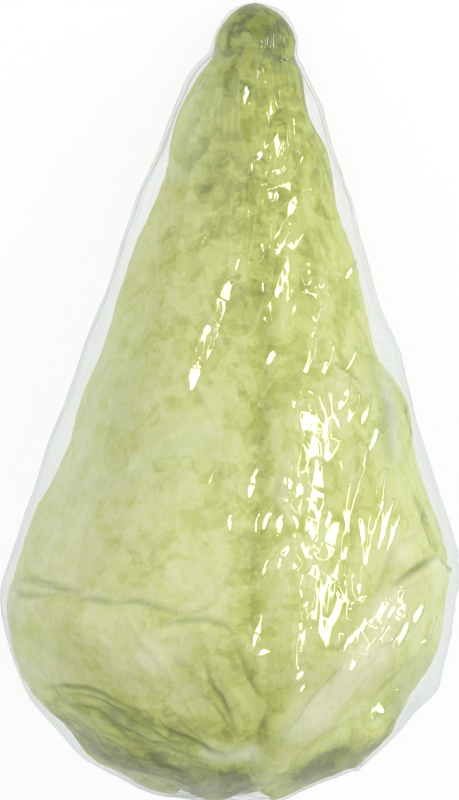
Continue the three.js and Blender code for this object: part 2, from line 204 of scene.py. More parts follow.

# --- The head's relief ------------------------------------------------------------------------

# Lines pressed into or raised on the leaves: the line as (angle, distance), its half width, its
# height, which is negative in a fold, and how much painted shade darkens the leaf along it.
RELIEF = [
    # The folds that run from the stem over the lower left leaf.
    ([(-65, 34.3), (-50, 37.3), (-42, 37.3), (-37, 35.8),
      (-32, 32.8), (-27, 30.4), (-21, 30.4)], 0.95, -1.5, 0.8),
    ([(-22, 27.8), (-18, 22.3), (-11, 20.1), (-4, 18.1), (4, 17.4)], 1.1, -1.9, 0.9),
    ([(-56, 35), (-43, 36.6), (-36, 33.5), (-29, 30.4), (-24, 27)], 1.6, 0.8, 0),
    ([(-53, 33.5), (-46, 35), (-39, 34.3), (-34, 31.2), (-30, 27),
      (-24, 24.6), (-19, 19.4), (-10, 18.7), (-3, 18.1)], 0.95, -1.4, 0.75),
    ([(-58, 28.7), (-47, 30.4), (-40, 29.5), (-36, 25.4),
      (-30, 23), (-26, 19.4), (-19, 18.1), (-11, 17.4)], 1, -1.6, 0.85),
    ([(-51, 32.8), (-42, 32.8), (-38, 28.7), (-30, 25.4), (-24, 23), (-17, 20.1)], 1.1, 0.7, 0),
    ([(-44, 27), (-37, 25.4), (-34, 19.4), (-26, 18.1), (-18, 16.8)], 0.9, -1.1, 0.6),
    ([(-72, 16.2), (-58, 14.4), (-51, 11.4), (-37, 10.8), (-32, 6.5), (-15, 8.6)], 1.1, -1.3, 0.6),
    ([(-52, 20.8), (-44, 18.1), (-36, 15.6), (-29, 13.8), (-20, 13.8)], 0.9, -0.9, 0.5),
    ([(-63, 16.2), (-54, 12.5), (-39, 11.9), (-31, 9.4)], 1.8, 0.8, 0),
    ([(-25, 11.9), (-18, 11.9), (-13, 9)], 1, -1.2, 0.6),
    ([(-29, 18.1), (-23, 16.2), (-18, 13.8), (-14, 11.4)], 1.6, 1, 0),
    ([(-32, 32), (-27, 29.5), (-24, 25.4)], 0.8, -0.7, 0.45),
    ([(-15, 27), (-11, 23.8), (-7, 20.1)], 0.8, -0.6, 0.4),
    ([(-19, 35), (-14, 30.4), (-8, 26.2)], 1.4, 0.5, 0),
    ([(-6, 48.7), (-5, 43.7), (-4, 40.5), (-1, 36.6), (1, 31.2), (4, 23)], 1, -1.6, 0.8),
    ([(-5, 35.8), (-2, 32), (1, 27), (5, 21.5)], 0.85, -1.1, 0.6),
    ([(-8, 46.2), (-6, 39.7), (-4, 34.3)], 1.9, 0.8, 0),
    ([(-15, 50.4), (-13, 47), (-8, 46.2)], 0.9, -0.4, 0.25),
    ([(-30, 43.7), (-25, 41.3), (-22, 38.1), (-18, 35.8)], 1.2, -0.4, 0.2),
    ([(-1, 42.9), (3, 36.6), (8, 28.7)], 2.2, 1, 0),
    ([(1, 55.4), (4, 49.6), (6, 43.7), (9, 38.1), (13, 34.3)], 1.1, -1.2, 0.55),
    ([(13, 33.5), (12, 27), (11, 21.5)], 1.2, -1.8, 0.55),
    ([(11, 27.8), (13, 24.6)], 1.6, -1.8, 0.6),
    ([(1, 18.1), (8, 19.4)], 1.1, -1, 0.35),
    ([(-30, 30.4), (-23, 25.4), (-13, 20.8), (-3, 18.1)], 0.9, -0.6, 0.62),
    ([(-37, 32.8), (-32, 31.2), (-26, 28.7), (-22, 24.6)], 0.9, -0.7, 0.36),
    ([(-48, 32.8), (-40, 31.2), (-30, 29.5), (-24, 25.4)], 0.9, -0.7, 0.4),
    ([(-38, 28.7), (-28, 27), (-21, 23), (-13, 18.1)], 0.9, 0.3, 0),
    ([(-50, 31.2), (-45, 29.5), (-38, 28.7), (-32, 27.8)], 0.6, -0.7, 0.47),
    ([(-39, 28.7), (-30, 26.2), (-22, 23), (-15, 17.4)], 0.8, 0.4, 0),
    ([(-37, 27), (-32, 26.2), (-27, 23), (-24, 19.4)], 1.2, 0.5, 0),
    ([(-44, 27), (-36, 25.4), (-28, 23), (-22, 18.1)], 0.8, 0.5, 0),
    ([(-44, 27), (-37, 24.6), (-28, 22.3), (-21, 18.1)], 0.6, -0.4, 0.33),
    ([(-35, 23), (-26, 18.7), (-15, 16.2), (-4, 15)], 0.6, -0.6, 0.59),
    ([(-43, 24.6), (-37, 23.8), (-34, 20.1), (-28, 18.7)], 0.8, -0.8, 0.52),
    ([(-56, 24.6), (-48, 22.3), (-38, 21.5), (-31, 18.7)], 1.1, 0.5, 0),
    ([(-44, 20.8), (-34, 19.4), (-25, 16.8), (-15, 14.4)], 0.9, -0.8, 0.52),
    ([(-49, 21.5), (-44, 19.4), (-37, 18.7), (-30, 18.1)], 1.1, 0.4, 0),
    ([(-36, 18.1), (-30, 15), (-22, 14.4), (-14, 12.5)], 0.9, 0.5, 0),
    ([(-43, 18.1), (-38, 16.2), (-32, 15), (-27, 12.5)], 1.1, 0.4, 0),
    ([(-41, 16.8), (-32, 14.4), (-21, 13.8), (-12, 11.9)], 1.2, 0.5, 0),
    ([(-46, 16.8), (-39, 15.6), (-32, 14.4), (-28, 10.8)], 1.1, 0.3, 0),
    ([(-45, 15.6), (-34, 14.4), (-28, 9.4), (-15, 11.4)], 0.8, 0.3, 0),
    ([(-42, 15), (-34, 13.8), (-30, 11.4), (-21, 11.9)], 0.5, -0.4, 0.41),
    ([(-64, 16.2), (-56, 15), (-46, 14.4), (-39, 13.8)], 0.9, -0.3, 0.44),
    ([(-56, 13.8), (-45, 13.8), (-38, 13.1), (-32, 10.8)], 0.7, -0.5, 0.5),
    ([(-39, 11.4), (-33, 9), (-27, 6.8), (-14, 9.9)], 0.7, -0.8, 0.64),
    ([(-60, 13.1), (-46, 10.8), (-34, 9), (-27, 5.6)], 0.8, -0.7, 0.43),
    ([(-73, 11.9), (-58, 11.4), (-49, 9.9), (-39, 9)], 0.6, -0.8, 0.47),
    ([(-70, 10.8), (-50, 9.4), (-39, 7.2), (-38, 1.5)], 0.7, -0.4, 0.57),
    # The margin of that leaf.
    ([(-78, 66.9), (-63, 68.5), (-56, 67.7), (-49, 66.9), (-39, 66.1)], 1.1, -1.6, 0.5),
    ([(-83, 63.8), (-65, 62.9), (-56, 63.8), (-47, 66.1)], 1.1, -1.4, 0.45),
    ([(-42, 64.6), (-36, 64.6), (-30, 63.8)], 1.1, -1.5, 0.5),
    ([(-33, 63.8), (-24, 65.4), (-19, 63.8), (-11, 62.1)], 1, -1.3, 0.45),
    ([(-67, 58.8), (-54, 62.9), (-49, 65.4)], 1.4, 0.5, 0),
    ([(-11, 62.9), (-6, 64.6), (-3, 67.7)], 0.8, -0.4, 0.3),
    ([(-20, 58), (-13, 60.5), (-6, 61.3), (-1, 59.6), (3, 55.4)], 1, -1.3, 0.5),
    ([(-18, 55.4), (-13, 58), (-6, 58.8), (0, 55.4)], 2.4, 0.5, 0),
    ([(-46, 59.6), (-35, 58), (-25, 59.6)], 4, 0.7, 0),
    ([(-46, 54.6), (-39, 52.9), (-32, 47), (-27, 38.1)], 3, 0.6, 0),
    ([(-63, 50.4), (-49, 47), (-39, 43.7)], 2.2, -0.5, 0.12),
    ([(-20, 49.6), (-18, 41.3), (-13, 35)], 1.2, -0.4, 0.1),
    # The hollow and the stalk ends at the base.
    ([(-7, 9.4), (0, 6.8), (10, 8.2)], 3.4, -4.5, 0.9),
    ([(-12, 16.8), (-1, 17.4), (8, 16.8)], 3.2, 1.6, 0),
    # The broad midrib of the lower right leaf and the folds round it.
    ([(19, 6.8), (19, 23), (30, 35), (37, 50.4), (45, 62.1)], 7.5, 2.6, 0),
    ([(12, 10.3), (10, 17.4), (15, 22.3), (19, 27.8), (23, 33.5), (29, 42.1), (33, 49.6)], 1.3, -0.7, 0.12),
    ([(16, 10.3), (17, 20.1), (21, 27), (28, 35)], 1.8, 0.8, 0),
    ([(30, 4.7), (27, 16.8), (34, 23.8), (51, 28.7)], 1.6, -0.8, 0.18),
    ([(34, 15), (50, 15.6), (73, 14.4), (76, 18.7)], 1.8, -2, 0.55),
    ([(32, 11.9), (54, 8.2)], 3, -1.6, 0.6),
    ([(37, 21.5), (52, 21.5), (68, 23.8)], 3.2, 1.2, 0),
    ([(68, 23.8), (82, 27), (78, 31.2)], 1.5, -2.2, 0.9),
    ([(48, 71.6), (56, 76.1), (64, 78.3), (74, 79.8)], 1.1, -3, 0.8),
    ([(49, 70.8), (56, 73.8), (64, 76.8)], 2.2, 1, 0),
    ([(73, 79.8), (77, 77.6), (84, 73.8)], 1.2, -1.4, 0.5),
    ([(68, 97.8), (75, 94.3), (68, 90.7), (70, 83.5), (77, 79.8)], 1, -1.4, 0.8),
    ([(68, 97.8), (71, 92.1)], 0.9, -1, 0.6),
    ([(49, 83.5), (58, 85.6), (65, 87.8)], 1, -0.6, 0.2),
    ([(49, 90), (49, 82), (44, 72.3), (41, 64.6)], 1.6, -0.8, 0.3),
    ([(22, 54.6), (30, 53.8), (35, 58)], 0.9, -0.9, 0.4),
    ([(35, 40.5), (43, 49.6), (54, 57.1), (65, 64.6)], 1.6, -0.5, 0.12),
    ([(55, 32), (63, 44.6), (72, 54.6)], 2, -0.6, 0.15),
    ([(37, 68.5), (34, 62.1), (31, 52.9)], 2.6, -0.7, 0.2),
    # The middle of the head.
    ([(-2, 87.8), (5, 84.9), (11, 84.9)], 1.1, -1, 0.4),
    ([(-4, 78.3), (2, 75.3), (8, 76.1)], 1.1, -0.6, 0.25),
    ([(9, 177.3), (10, 151), (8, 123.4), (8, 97.1), (7, 79.1), (6, 62.1)], 1.8, -0.45, 0.12),
    ([(35, 187.6), (35, 169), (37, 148.2), (32, 125.5)], 3, 0.7, 0),
    ([(-11, 162.1), (-4, 160), (4, 157.9)], 1.1, -0.7, 0.3),
    ([(38, 139.1), (42, 137.8), (46, 136.4), (51, 133), (51, 128.9)], 0.9, -1.1, 0.75),
    ([(-24, 124.1), (-19, 125.5), (-14, 124.1)], 1, -0.7, 0.12),
    ([(-25, 102.9), (-20, 102.1)], 1.4, -0.6, 0.2),
    ([(-41, 155.1), (-31, 149.6), (-18, 146.1)], 1.6, -0.5, 0.12),
    ([(-39, 100.7), (-25, 106.5), (-13, 113.7)], 3, 0.5, 0),
    ([(-33, 95), (-21, 102.1), (-11, 108)], 2.4, -0.45, 0.1),
    ([(-44, 82), (-25, 80.5), (-12, 84.2)], 2.6, -0.5, 0.1),
    ([(-69, 92.8), (-62, 102.9), (-55, 115.1)], 3.2, 0.5, 0),
    ([(-11, 110.8), (-5, 104.3), (-6, 96.4)], 1.4, -0.6, 0.2),
    ([(-64, 171.8), (-52, 174.5), (-41, 175.9)], 1.1, -0.7, 0.3),
    ([(-25, 133.7), (-16, 128.2), (-11, 122.1)], 1.2, -0.6, 0.2),
    ([(14, 105.8), (12, 97.1), (13, 87.8)], 1.5, -0.6, 0.2),
    ([(39, 117.2), (41, 106.5), (35, 94.3)], 1.6, -0.6, 0.2),
    ([(30, 111.5), (26, 102.9), (27, 91.4)], 1.4, -0.5, 0.15),
    ([(71, 123.4), (83, 119.3)], 1.2, -1, 0.5),
    # The rolled tip.
    ([(-56, 246.6), (-33, 246.6), (-16, 247.8), (1, 243.3), (11, 241.4), (25, 241.4)], 1, -1.6, 0.75),
    ([(-30, 238.2), (-11, 238.2), (5, 234.7), (25, 234.7)], 1.5, 0.8, 0),
    ([(15, 250.3), (36, 246.6), (41, 241.4)], 0.8, -0.9, 0.45),
    ([(-46, 254.1), (-1, 254.1), (41, 254.5)], 0.9, -0.8, 0.3),
    ([(41, 235.5), (60, 235.5), (82, 234.7)], 0.9, -1.3, 0.7),
    ([(32, 233.8), (30, 232.9), (31, 228.9)], 0.7, -0.8, 0.4),
    ([(-89, 234), (-32, 233.6), (-4, 233.5)], 1.4, -0.9, 0.35),
    ([(-2, 224.7), (6, 228), (22, 230.6), (44, 231.5), (65, 229.7)], 1.1, 1, 0),
    ([(5, 224.7), (15, 228), (33, 228.9), (62, 228)], 1.2, -1.1, 0.55),
    ([(18, 223.1), (23, 220.1), (37, 219.3), (62, 221.6)], 1, -1, 0.5),
    ([(-78, 219.3), (-43, 221.6), (-20, 222.4)], 1, -0.7, 0.25),
    ([(-31, 219.3), (-27, 210.6), (-25, 202.8)], 0.45, -0.6, 0.45),
    ([(-26, 219.3), (-22, 209.8), (-19, 201.4)], 0.45, -0.6, 0.5),
    ([(-20, 218.6), (-16, 209.1), (-15, 200.7)], 0.45, -0.6, 0.5),
    ([(-13, 217.8), (-11, 209.1), (-10, 202.1)], 0.45, -0.5, 0.35),
    ([(78, 214.9), (79, 212.7), (84, 210.6)], 1, -1.1, 0.6),
    ([(65, 203.5), (72, 200), (75, 196.5), (84, 193.8)], 1.1, -1.3, 0.75),
    ([(-32, 197.2), (-35, 192.4), (-31, 189)], 1.1, -0.5, 0.1),
    ([(4, 213.4), (9, 210.6), (6, 207)], 1.1, -0.6, 0.25),
]  # fmt: skip

# Where a leaf is greener, or paler where the amount is negative: the line, its half width, and
# how much. Many of the greener lines are painted shade: darker green along the folds, along a
# rib's shaded side, and over the hollow and the stalk ends at the base. The others are the
# leaves' own tone, though a few of the paler lines are painted glare.
TONE_AND_SHADE_LINES = [
    ([(9, 177.3), (10, 151), (8, 123.4), (8, 97.1), (7, 79.1), (6, 62.1)], 3.5, 0.16),
    ([(-24, 124.8), (-18, 122.7), (-14, 124.8)], 2.2, 0.2),
    ([(-25, 103.6), (-20, 102.1)], 2.2, 0.14),
    ([(-19, 198.6), (-25, 193.8), (-29, 189.7)], 3, 0.16),
    ([(-53, 171.8), (-47, 174.5), (-39, 175.9)], 2.2, 0.16),
    ([(75, 122.7), (83, 118.6)], 3.5, 0.3),
    ([(-67, 19.4), (-45, 9.9), (-12, 7.5)], 8.5, 0.3),
    ([(-7, 9.4), (9, 4.7)], 4, 0.3),
    ([(-59, 32.8), (-41, 30.4), (-27, 23.8)], 3.5, 0.22),
    ([(68, 96.4), (74, 82.7)], 3, 0.35),
    ([(35, 13.1), (53, 14.4), (76, 18.7)], 4, 0.3),
    ([(38, 8.2), (54, 8.2)], 3.5, 0.4),
    ([(19, 6.8), (21, 22.3), (32, 34.3), (39, 50.4), (47, 62.1)], 8, -0.26),
    ([(16, 19.4), (22, 12.5), (40, 4.7)], 5, 0.04),
    ([(0, 125.5), (0, 79.1)], 11, 0.08),
    ([(46, 209.8), (46, 198.6)], 7, -0.08),
    ([(27, 27.8), (35, 40.5)], 9, -0.14),
    ([(-5, 16.8), (9, 16.8)], 4, -0.62),
    ([(-6, 8.2), (11, 5.3)], 4.5, 0.9),
    ([(-7, 50.4), (4, 36.6), (13, 29.5)], 7, 0.1),
    ([(11, 64.6), (13, 39.7)], 7, 0.05),
    ([(45, 197.2), (43, 172.5), (42, 148.2), (34, 120)], 3, -0.12),
    ([(-54, 217.1), (-63, 198.6), (-64, 177.3)], 6, -0.16),
    ([(49, 79.8), (56, 82.7)], 4, -0.14),
    ([(30, 79.8), (34, 56.3)], 6, 0.12),
    ([(15, 50.4), (23, 52.9)], 5, 0.08),
    ([(-29, 53.8), (-20, 47.9), (-12, 35)], 7, -0.16),
    ([(0, 39.7), (9, 28.7)], 3, -0.08),
    ([(-11, 204.2), (9, 193.1)], 6, 0.1),
    ([(-81, 246.6), (53, 244.4)], 6, 0.12),
    ([(50, 64.6), (66, 66.9)], 6, 0.1),
    ([(28, 160), (42, 148.2)], 5, 0.06),
    ([(-1, 155.8), (-3, 131.7)], 6, 0.06),
    ([(-10, 105.8), (-1, 96.4)], 5, 0.1),
    ([(42, 219.3), (49, 212.7)], 3, -0.1),
    ([(30, 105.8), (33, 91.4)], 5, 0.1),
]  # fmt: skip


def head_place(x, distance, z):
    """The world's x, y and z, in metres, of places in the head's own frame."""
    side = (FILM_LOW.x + FILM_HIGH.x) / 2 + MM * (AXIS_SIDE + x)
    y = FILM_LOW.y + MM * (AXIS_IN + distance * math.cos(TILT) + z * math.sin(TILT))
    up = FILM_LOW.z + MM * (LIFT - distance * math.sin(TILT) + z * math.cos(TILT))
    return side, y, up


def noise(x, y, z, seed):
    """A smooth random field from -1 to 1, its features about one unit across."""
    side = 32
    lattice = np.random.default_rng(seed).uniform(-1, 1, (side, side, side))
    cells, shares = [], []
    for value in np.broadcast_arrays(x, y, z):
        cell = np.floor(value).astype(int)
        share = value - cell
        cells.append(cell)
        shares.append(share * share * (3 - 2 * share))
    total = 0
    for corner in range(8):
        weight, index = 1, []
        for axis in range(3):
            step = (corner >> axis) & 1
            weight = weight * (shares[axis] if step else 1 - shares[axis])
            index.append((cells[axis] + step) % side)
        total = total + weight * lattice[tuple(index)]
    return total


def curve(points, shares):
    """Points at the given shares of a smooth open curve through the given ones."""
    knots = np.asarray(points, float)
    last = len(knots) - 1
    place = np.clip(shares, 0, 1) * last
    cell = np.minimum(place.astype(int), last - 1)
    t = (place - cell)[:, None]
    before, start = knots[np.maximum(cell - 1, 0)], knots[cell]
    end, after = knots[cell + 1], knots[np.minimum(cell + 2, last)]
    leave, arrive = (end - before) / 2, (after - start) / 2
    cubic = 2 * start - 2 * end + leave + arrive
    square = 3 * end - 3 * start - 2 * leave - arrive
    return ((cubic * t + square) * t + leave) * t + start


class Head:
    """The head as a grid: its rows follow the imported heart's profile from the base to the tip at
    even steps, and its columns go round. A field over it has one value for each row and column."""

    def __init__(self):
        """Steps evenly along the profile, and notes each step's way out of the heart."""
        dense = curve(HEART_PROFILE, np.linspace(0, 1, 4001))
        way = np.concatenate([[0], np.cumsum(np.hypot(*np.diff(dense, axis=0).T))])
        self.length = way[-1]
        even = np.linspace(0, self.length, ROWS + 1)
        self.radius = np.interp(even, way, dense[:, 0])
        self.distance = np.interp(even, way, dense[:, 1])
        self.row_size = self.length / ROWS
        along = np.gradient(np.stack([self.radius, self.distance], 1), axis=0)
        along[0], along[-1] = (1, 0), (-1, 0)
        along /= np.linalg.norm(along, axis=1)[:, None]
        self.out_radius, self.out_distance = along[:, 1], -along[:, 0]
        self.root = float(np.interp(ROOT_RADIUS, self.radius[: ROWS // 4], np.arange(ROWS // 4)))
        self.angles = np.arange(COLUMNS) * 360 / COLUMNS
        self.outside = self.distance + OUTER_HEIGHT * self.out_distance
        self.lowest = np.argmin(self.outside[: ROWS // 3])

    def row_inside(self, distance):
        """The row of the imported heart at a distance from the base."""
        start = int(self.root)
        return np.interp(distance, self.distance[start:], np.arange(start, ROWS + 1))

    def row_outside(self, distance):
        """The row whose outer leaves are at a distance from the base."""
        rising = np.maximum.accumulate(self.outside[self.lowest :])
        row = np.interp(distance, rising, np.arange(self.lowest, ROWS + 1))
        return np.maximum(row, self.root)

    def blur(self, field, size):
        """The field smoothed over a size in millimetres, along the rows and round the head."""
        waves = np.arange(COLUMNS // 2 + 1)
        spread = size / np.maximum(self.radius + OUTER_HEIGHT, 6)
        smooth = np.fft.rfft(field, axis=1) * np.exp(-0.5 * (waves * spread[:, None]) ** 2)
        field = np.fft.irfft(smooth, COLUMNS, axis=1)
        reach = max(1, int(3 * size / self.row_size))
        steps = np.arange(-reach, reach + 1)
        kernel = np.exp(-0.5 * (steps * self.row_size / size) ** 2)
        kernel /= kernel.sum()
        padded = np.pad(field, ((reach, reach), (0, 0)), mode="edge")
        return sum(k * padded[i : i + ROWS + 1] for i, k in enumerate(kernel))

    def grid(self):
        """The rows and the angles of every place of the grid."""
        rows, angles = np.meshgrid(np.arange(ROWS + 1.0), self.angles, indexing="ij")
        return rows.ravel(), angles.ravel()

    def stretches(self, line, pad, rows, angles):
        """Each stretch of a line: which places are near it, how far along the line they are, how
        far off it round the head and along it, and its direction there. All in millimetres."""
        points = np.asarray(line, float)
        ends = self.row_outside(points[:, 1])
        passed = 0
        for turn0, turn1, row0, row1 in zip(points[:, 0], points[1:, 0], ends, ends[1:]):
            low, high = sorted((row0, row1))
            margin = pad / self.row_size
            near = np.flatnonzero((rows > low - margin) & (rows < high + margin))
            reach = self.station(self.radius, rows[near]) + OUTER_HEIGHT
            x = np.radians((angles[near] - turn0 + 180) % 360 - 180) * reach
            y = (rows[near] - row0) * self.row_size
            dx, dy = np.radians(turn1 - turn0) * reach, (row1 - row0) * self.row_size
            length = np.maximum(np.hypot(dx, dy), 1e-6)
            share = np.clip((x * dx + y * dy) / length**2, 0, 1)
            yield near, passed + share * length, x - share * dx, y - share * dy, dx / length, dy / length
            passed += length.mean() if len(length) else 0

    def near(self, line, half_width, rows, angles, taper=0):
        """How near places are to a line, from 0 to 1 on it. taper is the share of it that fades."""
        nearest, passed, whole = np.full(len(rows), 1e9), np.zeros(len(rows)), 1
        for near, way, off_x, off_y, _, _ in self.stretches(line, 2.7 * half_width, rows, angles):
            away = np.hypot(off_x, off_y)
            passed[near] = np.where(away < nearest[near], way, passed[near])
            nearest[near] = np.minimum(nearest[near], away)
            whole = max(whole, way.max(initial=1))
        shape = np.exp(-((nearest / half_width) ** 2))
        if taper:
            tip = np.clip(np.minimum(passed, whole - passed) / whole / taper, 0, 1)
            shape = shape ** (1 / (0.35 + 0.65 * tip)) * tip**0.5
        return shape

    def at(self, field, rows, angles):
        """A field's values at rows and angles between its own."""
        r = np.clip(rows, 0, ROWS - 1e-6)
        c = (angles / 360 * COLUMNS) % COLUMNS
        r0, c0 = r.astype(int), c.astype(int) % COLUMNS
        fr, fc = r - r0, c - np.floor(c)
        c1 = (c0 + 1) % COLUMNS
        low = field[r0, c0] * (1 - fc) + field[r0, c1] * fc
        high = field[r0 + 1, c0] * (1 - fc) + field[r0 + 1, c1] * fc
        return low * (1 - fr) + high * fr

    def station(self, values, rows):
        """A row's value, at rows between its own."""
        return np.interp(rows, np.arange(ROWS + 1), values)

    def points(self, rows, angles, heights, clearances):
        """World places, in metres, of heights over the heart, pressed flat where they lie."""
        turn = np.radians(angles)
        distance = self.station(self.distance, rows) + heights * self.station(self.out_distance, rows)
        radius = self.station(self.radius, rows) + heights * self.station(self.out_radius, rows)
        up = FLATNESS * np.cos(turn)
        level = radius * up
        lowest = (clearances - LIFT + distance * math.sin(TILT)) / math.cos(TILT)
        gap = level - lowest
        pressed = lowest + (gap + np.sqrt(gap**2 + PRESS_SOFTNESS**2)) / 2
        under = up < -0.02
        radius = np.where(under, np.maximum(0, pressed / np.where(under, up, 1)), radius)
        return np.stack(head_place(radius * np.sin(turn), distance, radius * up), -1)


@functools.lru_cache(maxsize=1)
def the_head():
    """The one head that every piece is laid on."""
    return Head()


def outline(leaf, head, v):
    """The leaf's left edge, middle and right edge at shares v of its length, as angles and rows."""
    if "left_edge" in leaf:
        edges = [curve(leaf[side], v) for side in ("left_edge", "right_edge")]
        left, right = [np.stack([e[:, 0], head.row_outside(e[:, 1])], 1) for e in edges]
        return left, (left + right) / 2, right
    rows = head.root + (head.row_inside(leaf["top"]) - head.root) * v
    middle = leaf["mid"] + leaf["turn"] * head.station(head.distance, rows) / 100
    opening = np.sin(np.pi / 2 * np.minimum(1, v / leaf["widest"]))
    end = np.clip((v - leaf["widest"]) / (1 - leaf["widest"]), 0, 1)
    share = (leaf["root"] + (1 - leaf["root"]) * opening) * (1 - end**END_ROUND) ** (1 / END_ROUND)
    left, right = leaf["left"] * share + STALK_TURN, leaf["right"] * share + STALK_TURN
    return [np.stack([side, rows], 1) for side in (middle - left, middle, middle + right)]


def spread(leaf, head, u, v, seed):
    """Angles and rows of the leaf's points, u from -1 to 1 across it and v from 0 to 1 along it."""
    steps = np.linspace(0, 1, 241)
    left, middle, right = outline(leaf, head, steps)
    wave = 0.035 * noise(v * 7, np.sign(u) * 3, seed, 11) * np.abs(u) ** 3 * np.minimum(1, 6 * v)
    u = u * (1 + wave)
    v = v * (1 + 0.02 * noise(u * 3, seed, 0, 12) * v**4)
    places = []
    for k in (0, 1):
        edges = (np.interp(v, steps, side[:, k]) for side in (left, middle, right))
        at_left, at_middle, at_right = edges
        reach = np.where(u < 0, at_middle - at_left, at_right - at_middle)
        places.append(at_middle + reach * u)
    return places


def leaf_relief(leaf, head, u, v, rows, seed):
    """How far a leaf's face stands out of its even thickness, how near each point is to a vein, and
    its way to the edge."""
    radius = head.station(head.radius, rows) + OUTER_HEIGHT
    steps = np.linspace(0, 1, 61)
    left, middle, right = outline(leaf, head, steps)
    width = np.radians(np.abs(right[:, 0] - left[:, 0])) / 2
    half = np.interp(v, steps, width) * radius
    half = np.maximum(half, np.interp(v, steps, np.abs(right[:, 1] - left[:, 1]) / 2 * head.row_size))
    length = head.length * np.hypot(*(middle[-1] - middle[0]) / (COLUMNS, ROWS))
    length = max(length, SHORTEST_LEAF)
    across = np.abs(u) * half
    rib = leaf["rib"] * np.exp(-((across / (3 + 7 * (1 - v))) ** 2)) * np.clip(1.15 - v, 0, 1) ** 1.5
    wobble = 0.25 * noise(u * 2.2, v * 5, seed, 21)
    phase = (v - VEIN_RISE * np.abs(u) ** 0.85) * SIDE_VEINS + 0.25 * np.sign(u) + wobble
    from_vein = np.abs(phase - np.round(phase)) / SIDE_VEINS * length
    lateral = np.exp(-((from_vein / VEIN_WIDTH) ** 2)) * np.clip(1.1 - np.abs(u), 0, 1)
    lateral *= np.clip(3 * v, 0, 1)
    fine = phase * 3.1 + 0.8 * noise(u * 6, v * 12, seed, 22)
    twig = np.exp(-((np.abs(fine - np.round(fine)) * length / TWIG_SIZE) ** 2))
    edge = np.minimum((1 - np.abs(u)) * half, (1 - v) * length)
    lift = leaf["lift"] * np.exp(-edge / LIFT_REACH) * (0.6 + 0.6 * noise(u * 4, v * 6, seed, 23))
    swell = 0.35 * noise(u * half / 14, v * length / 17, seed, 24)
    height = rib + VEIN_HEIGHT * lateral + 0.12 * twig + lift + swell
    height *= 1 - leaf["sink"] * np.clip(1 - edge / SINK_REACH, 0, 1)
    main = np.exp(-((across / (1.2 + 3 * (1 - v))) ** 2)) * np.clip(1.1 - v, 0, 1)
    return height, np.clip(np.maximum(0.9 * main, 0.7 * lateral) + 0.2 * twig, 0, 1), edge


def laid(leaf, head, bed, rows, angles, edge):
    """The heights under a leaf on its bed: clear of the leaves below, its pressed margin in them."""
    margin = leaf["sink"] * np.clip(1 - edge / SINK_REACH, 0, 1) ** 1.3
    smooth, under = (head.at(field, rows, angles) for field in bed)
    return smooth * (1 - margin) + (under - SINK) * margin


def wall_share(edge):
    """How thick a leaf is near its edge, as a share of its full thickness."""
    return EDGE_WALL + (1 - EDGE_WALL) * np.clip(edge / THINNING, 0, 1) ** 0.8


def widened(head, base):
    """The base heights that bring the leafy head to its half widths on both sides."""
    tops = head.blur(lay_leaves(head, base)[1], 3)
    sides = np.array(HEAD_SIDES, float)
    rows = head.row_outside(sides[:, 0])
    out = head.station(head.out_radius, rows)
    missing = []
    for column, angle in ((1, -90), (2, 90)):
        stands = head.at(tops, rows, np.full(len(rows), angle))
        more = (sides[:, column] - head.station(head.radius, rows) - stands * out) / np.maximum(out, 0.5)
        more = np.clip(more, -6, 8) * np.clip((out - 0.35) / 0.25, 0, 1)
        missing.append(np.interp(np.arange(ROWS + 1), rows, more)[:, None])
    across = np.sin(np.radians(head.angles))[None]
    more = (1 + across) / 2 * missing[1] + (1 - across) / 2 * missing[0]
    return base + head.blur(more, 4) * np.clip((head.radius[:, None] - 4) / 10, 0, 1)


def creased(head, rows, angles):
    """The folds' height at places, and the shade painted on the leaf along them."""
    form, fold_shade = np.zeros((2, len(rows)))
    for line, half_width, height, shade in RELIEF:
        near = head.near(line, half_width, rows, angles, FOLD_TAPER)
        form += (height if height > 0 else FOLD_DEPTH * height) * near
        fold_shade = np.maximum(fold_shade, shade * near**1.5)
    return form, fold_shade


@functools.lru_cache(maxsize=1)
def layered():
    """Lays the leaves over each other. Returns their beds and the head's fields."""
    head = the_head()
    form = creased(head, *head.grid())[0].reshape(ROWS + 1, COLUMNS)
    turn = np.radians(head.angles)[None]
    radius = head.radius[:, None] + OUTER_HEIGHT
    x, y, z = radius * np.sin(turn), head.distance[:, None], radius * np.cos(turn)
    base = sum(high * noise(x / wide, y / long, z / wide, seed) for high, wide, long, seed in BULGES)
    base *= np.clip((head.radius[:, None] - 1) / 8, 0, 1)
    base += TIP_ROLL * np.exp(-(((ROWS - np.arange(ROWS + 1)[:, None]) / 14) ** 2))
    ends = np.clip((head.out_radius[:, None] - 0.75) / -0.3, 0, 1) * (head.distance < STALK_REACH)[:, None]
    base += ends * (STALK_ENDS + 0.9 * np.cos(5 * turn + 0.6) - 1.4 * np.sin(turn))
    base = widened(head, base)
    beds, tops = lay_leaves(head, base)
    return {"base": base, "form": form, "beds": beds, "tops": tops + form}


def lay_leaves(head, base):
    """The bed that each leaf lies on, and the height of the whole stack."""
    stack = base.copy()
    beds = {}
    across, along = np.meshgrid(np.linspace(-1, 1, 420), np.linspace(0, 1, 560))
    for seed, (name, leaf) in enumerate(LEAVES.items()):
        bed = (np.maximum(stack, head.blur(stack, 2.2)) + LEAF_GAP, head.blur(stack, 0.8))
        beds[name] = bed
        u, v = across.ravel(), along.ravel()
        angles, rows = spread(leaf, head, u, v, seed)
        relief, _, edge = leaf_relief(leaf, head, u, v, rows, seed)
        heights = laid(leaf, head, bed, rows, angles, edge) + leaf["thickness"] * wall_share(edge) + relief
        cell = (np.round(rows).astype(int), np.round(angles / 360 * COLUMNS).astype(int) % COLUMNS)
        cover = np.full_like(stack, -1e9)
        np.maximum.at(cover, cell, heights)
        stack = np.where(cover > -1e8, np.maximum(cover, stack), stack)
    return beds, stack


# --- Meshes -----------------------------------------------------------------------------------


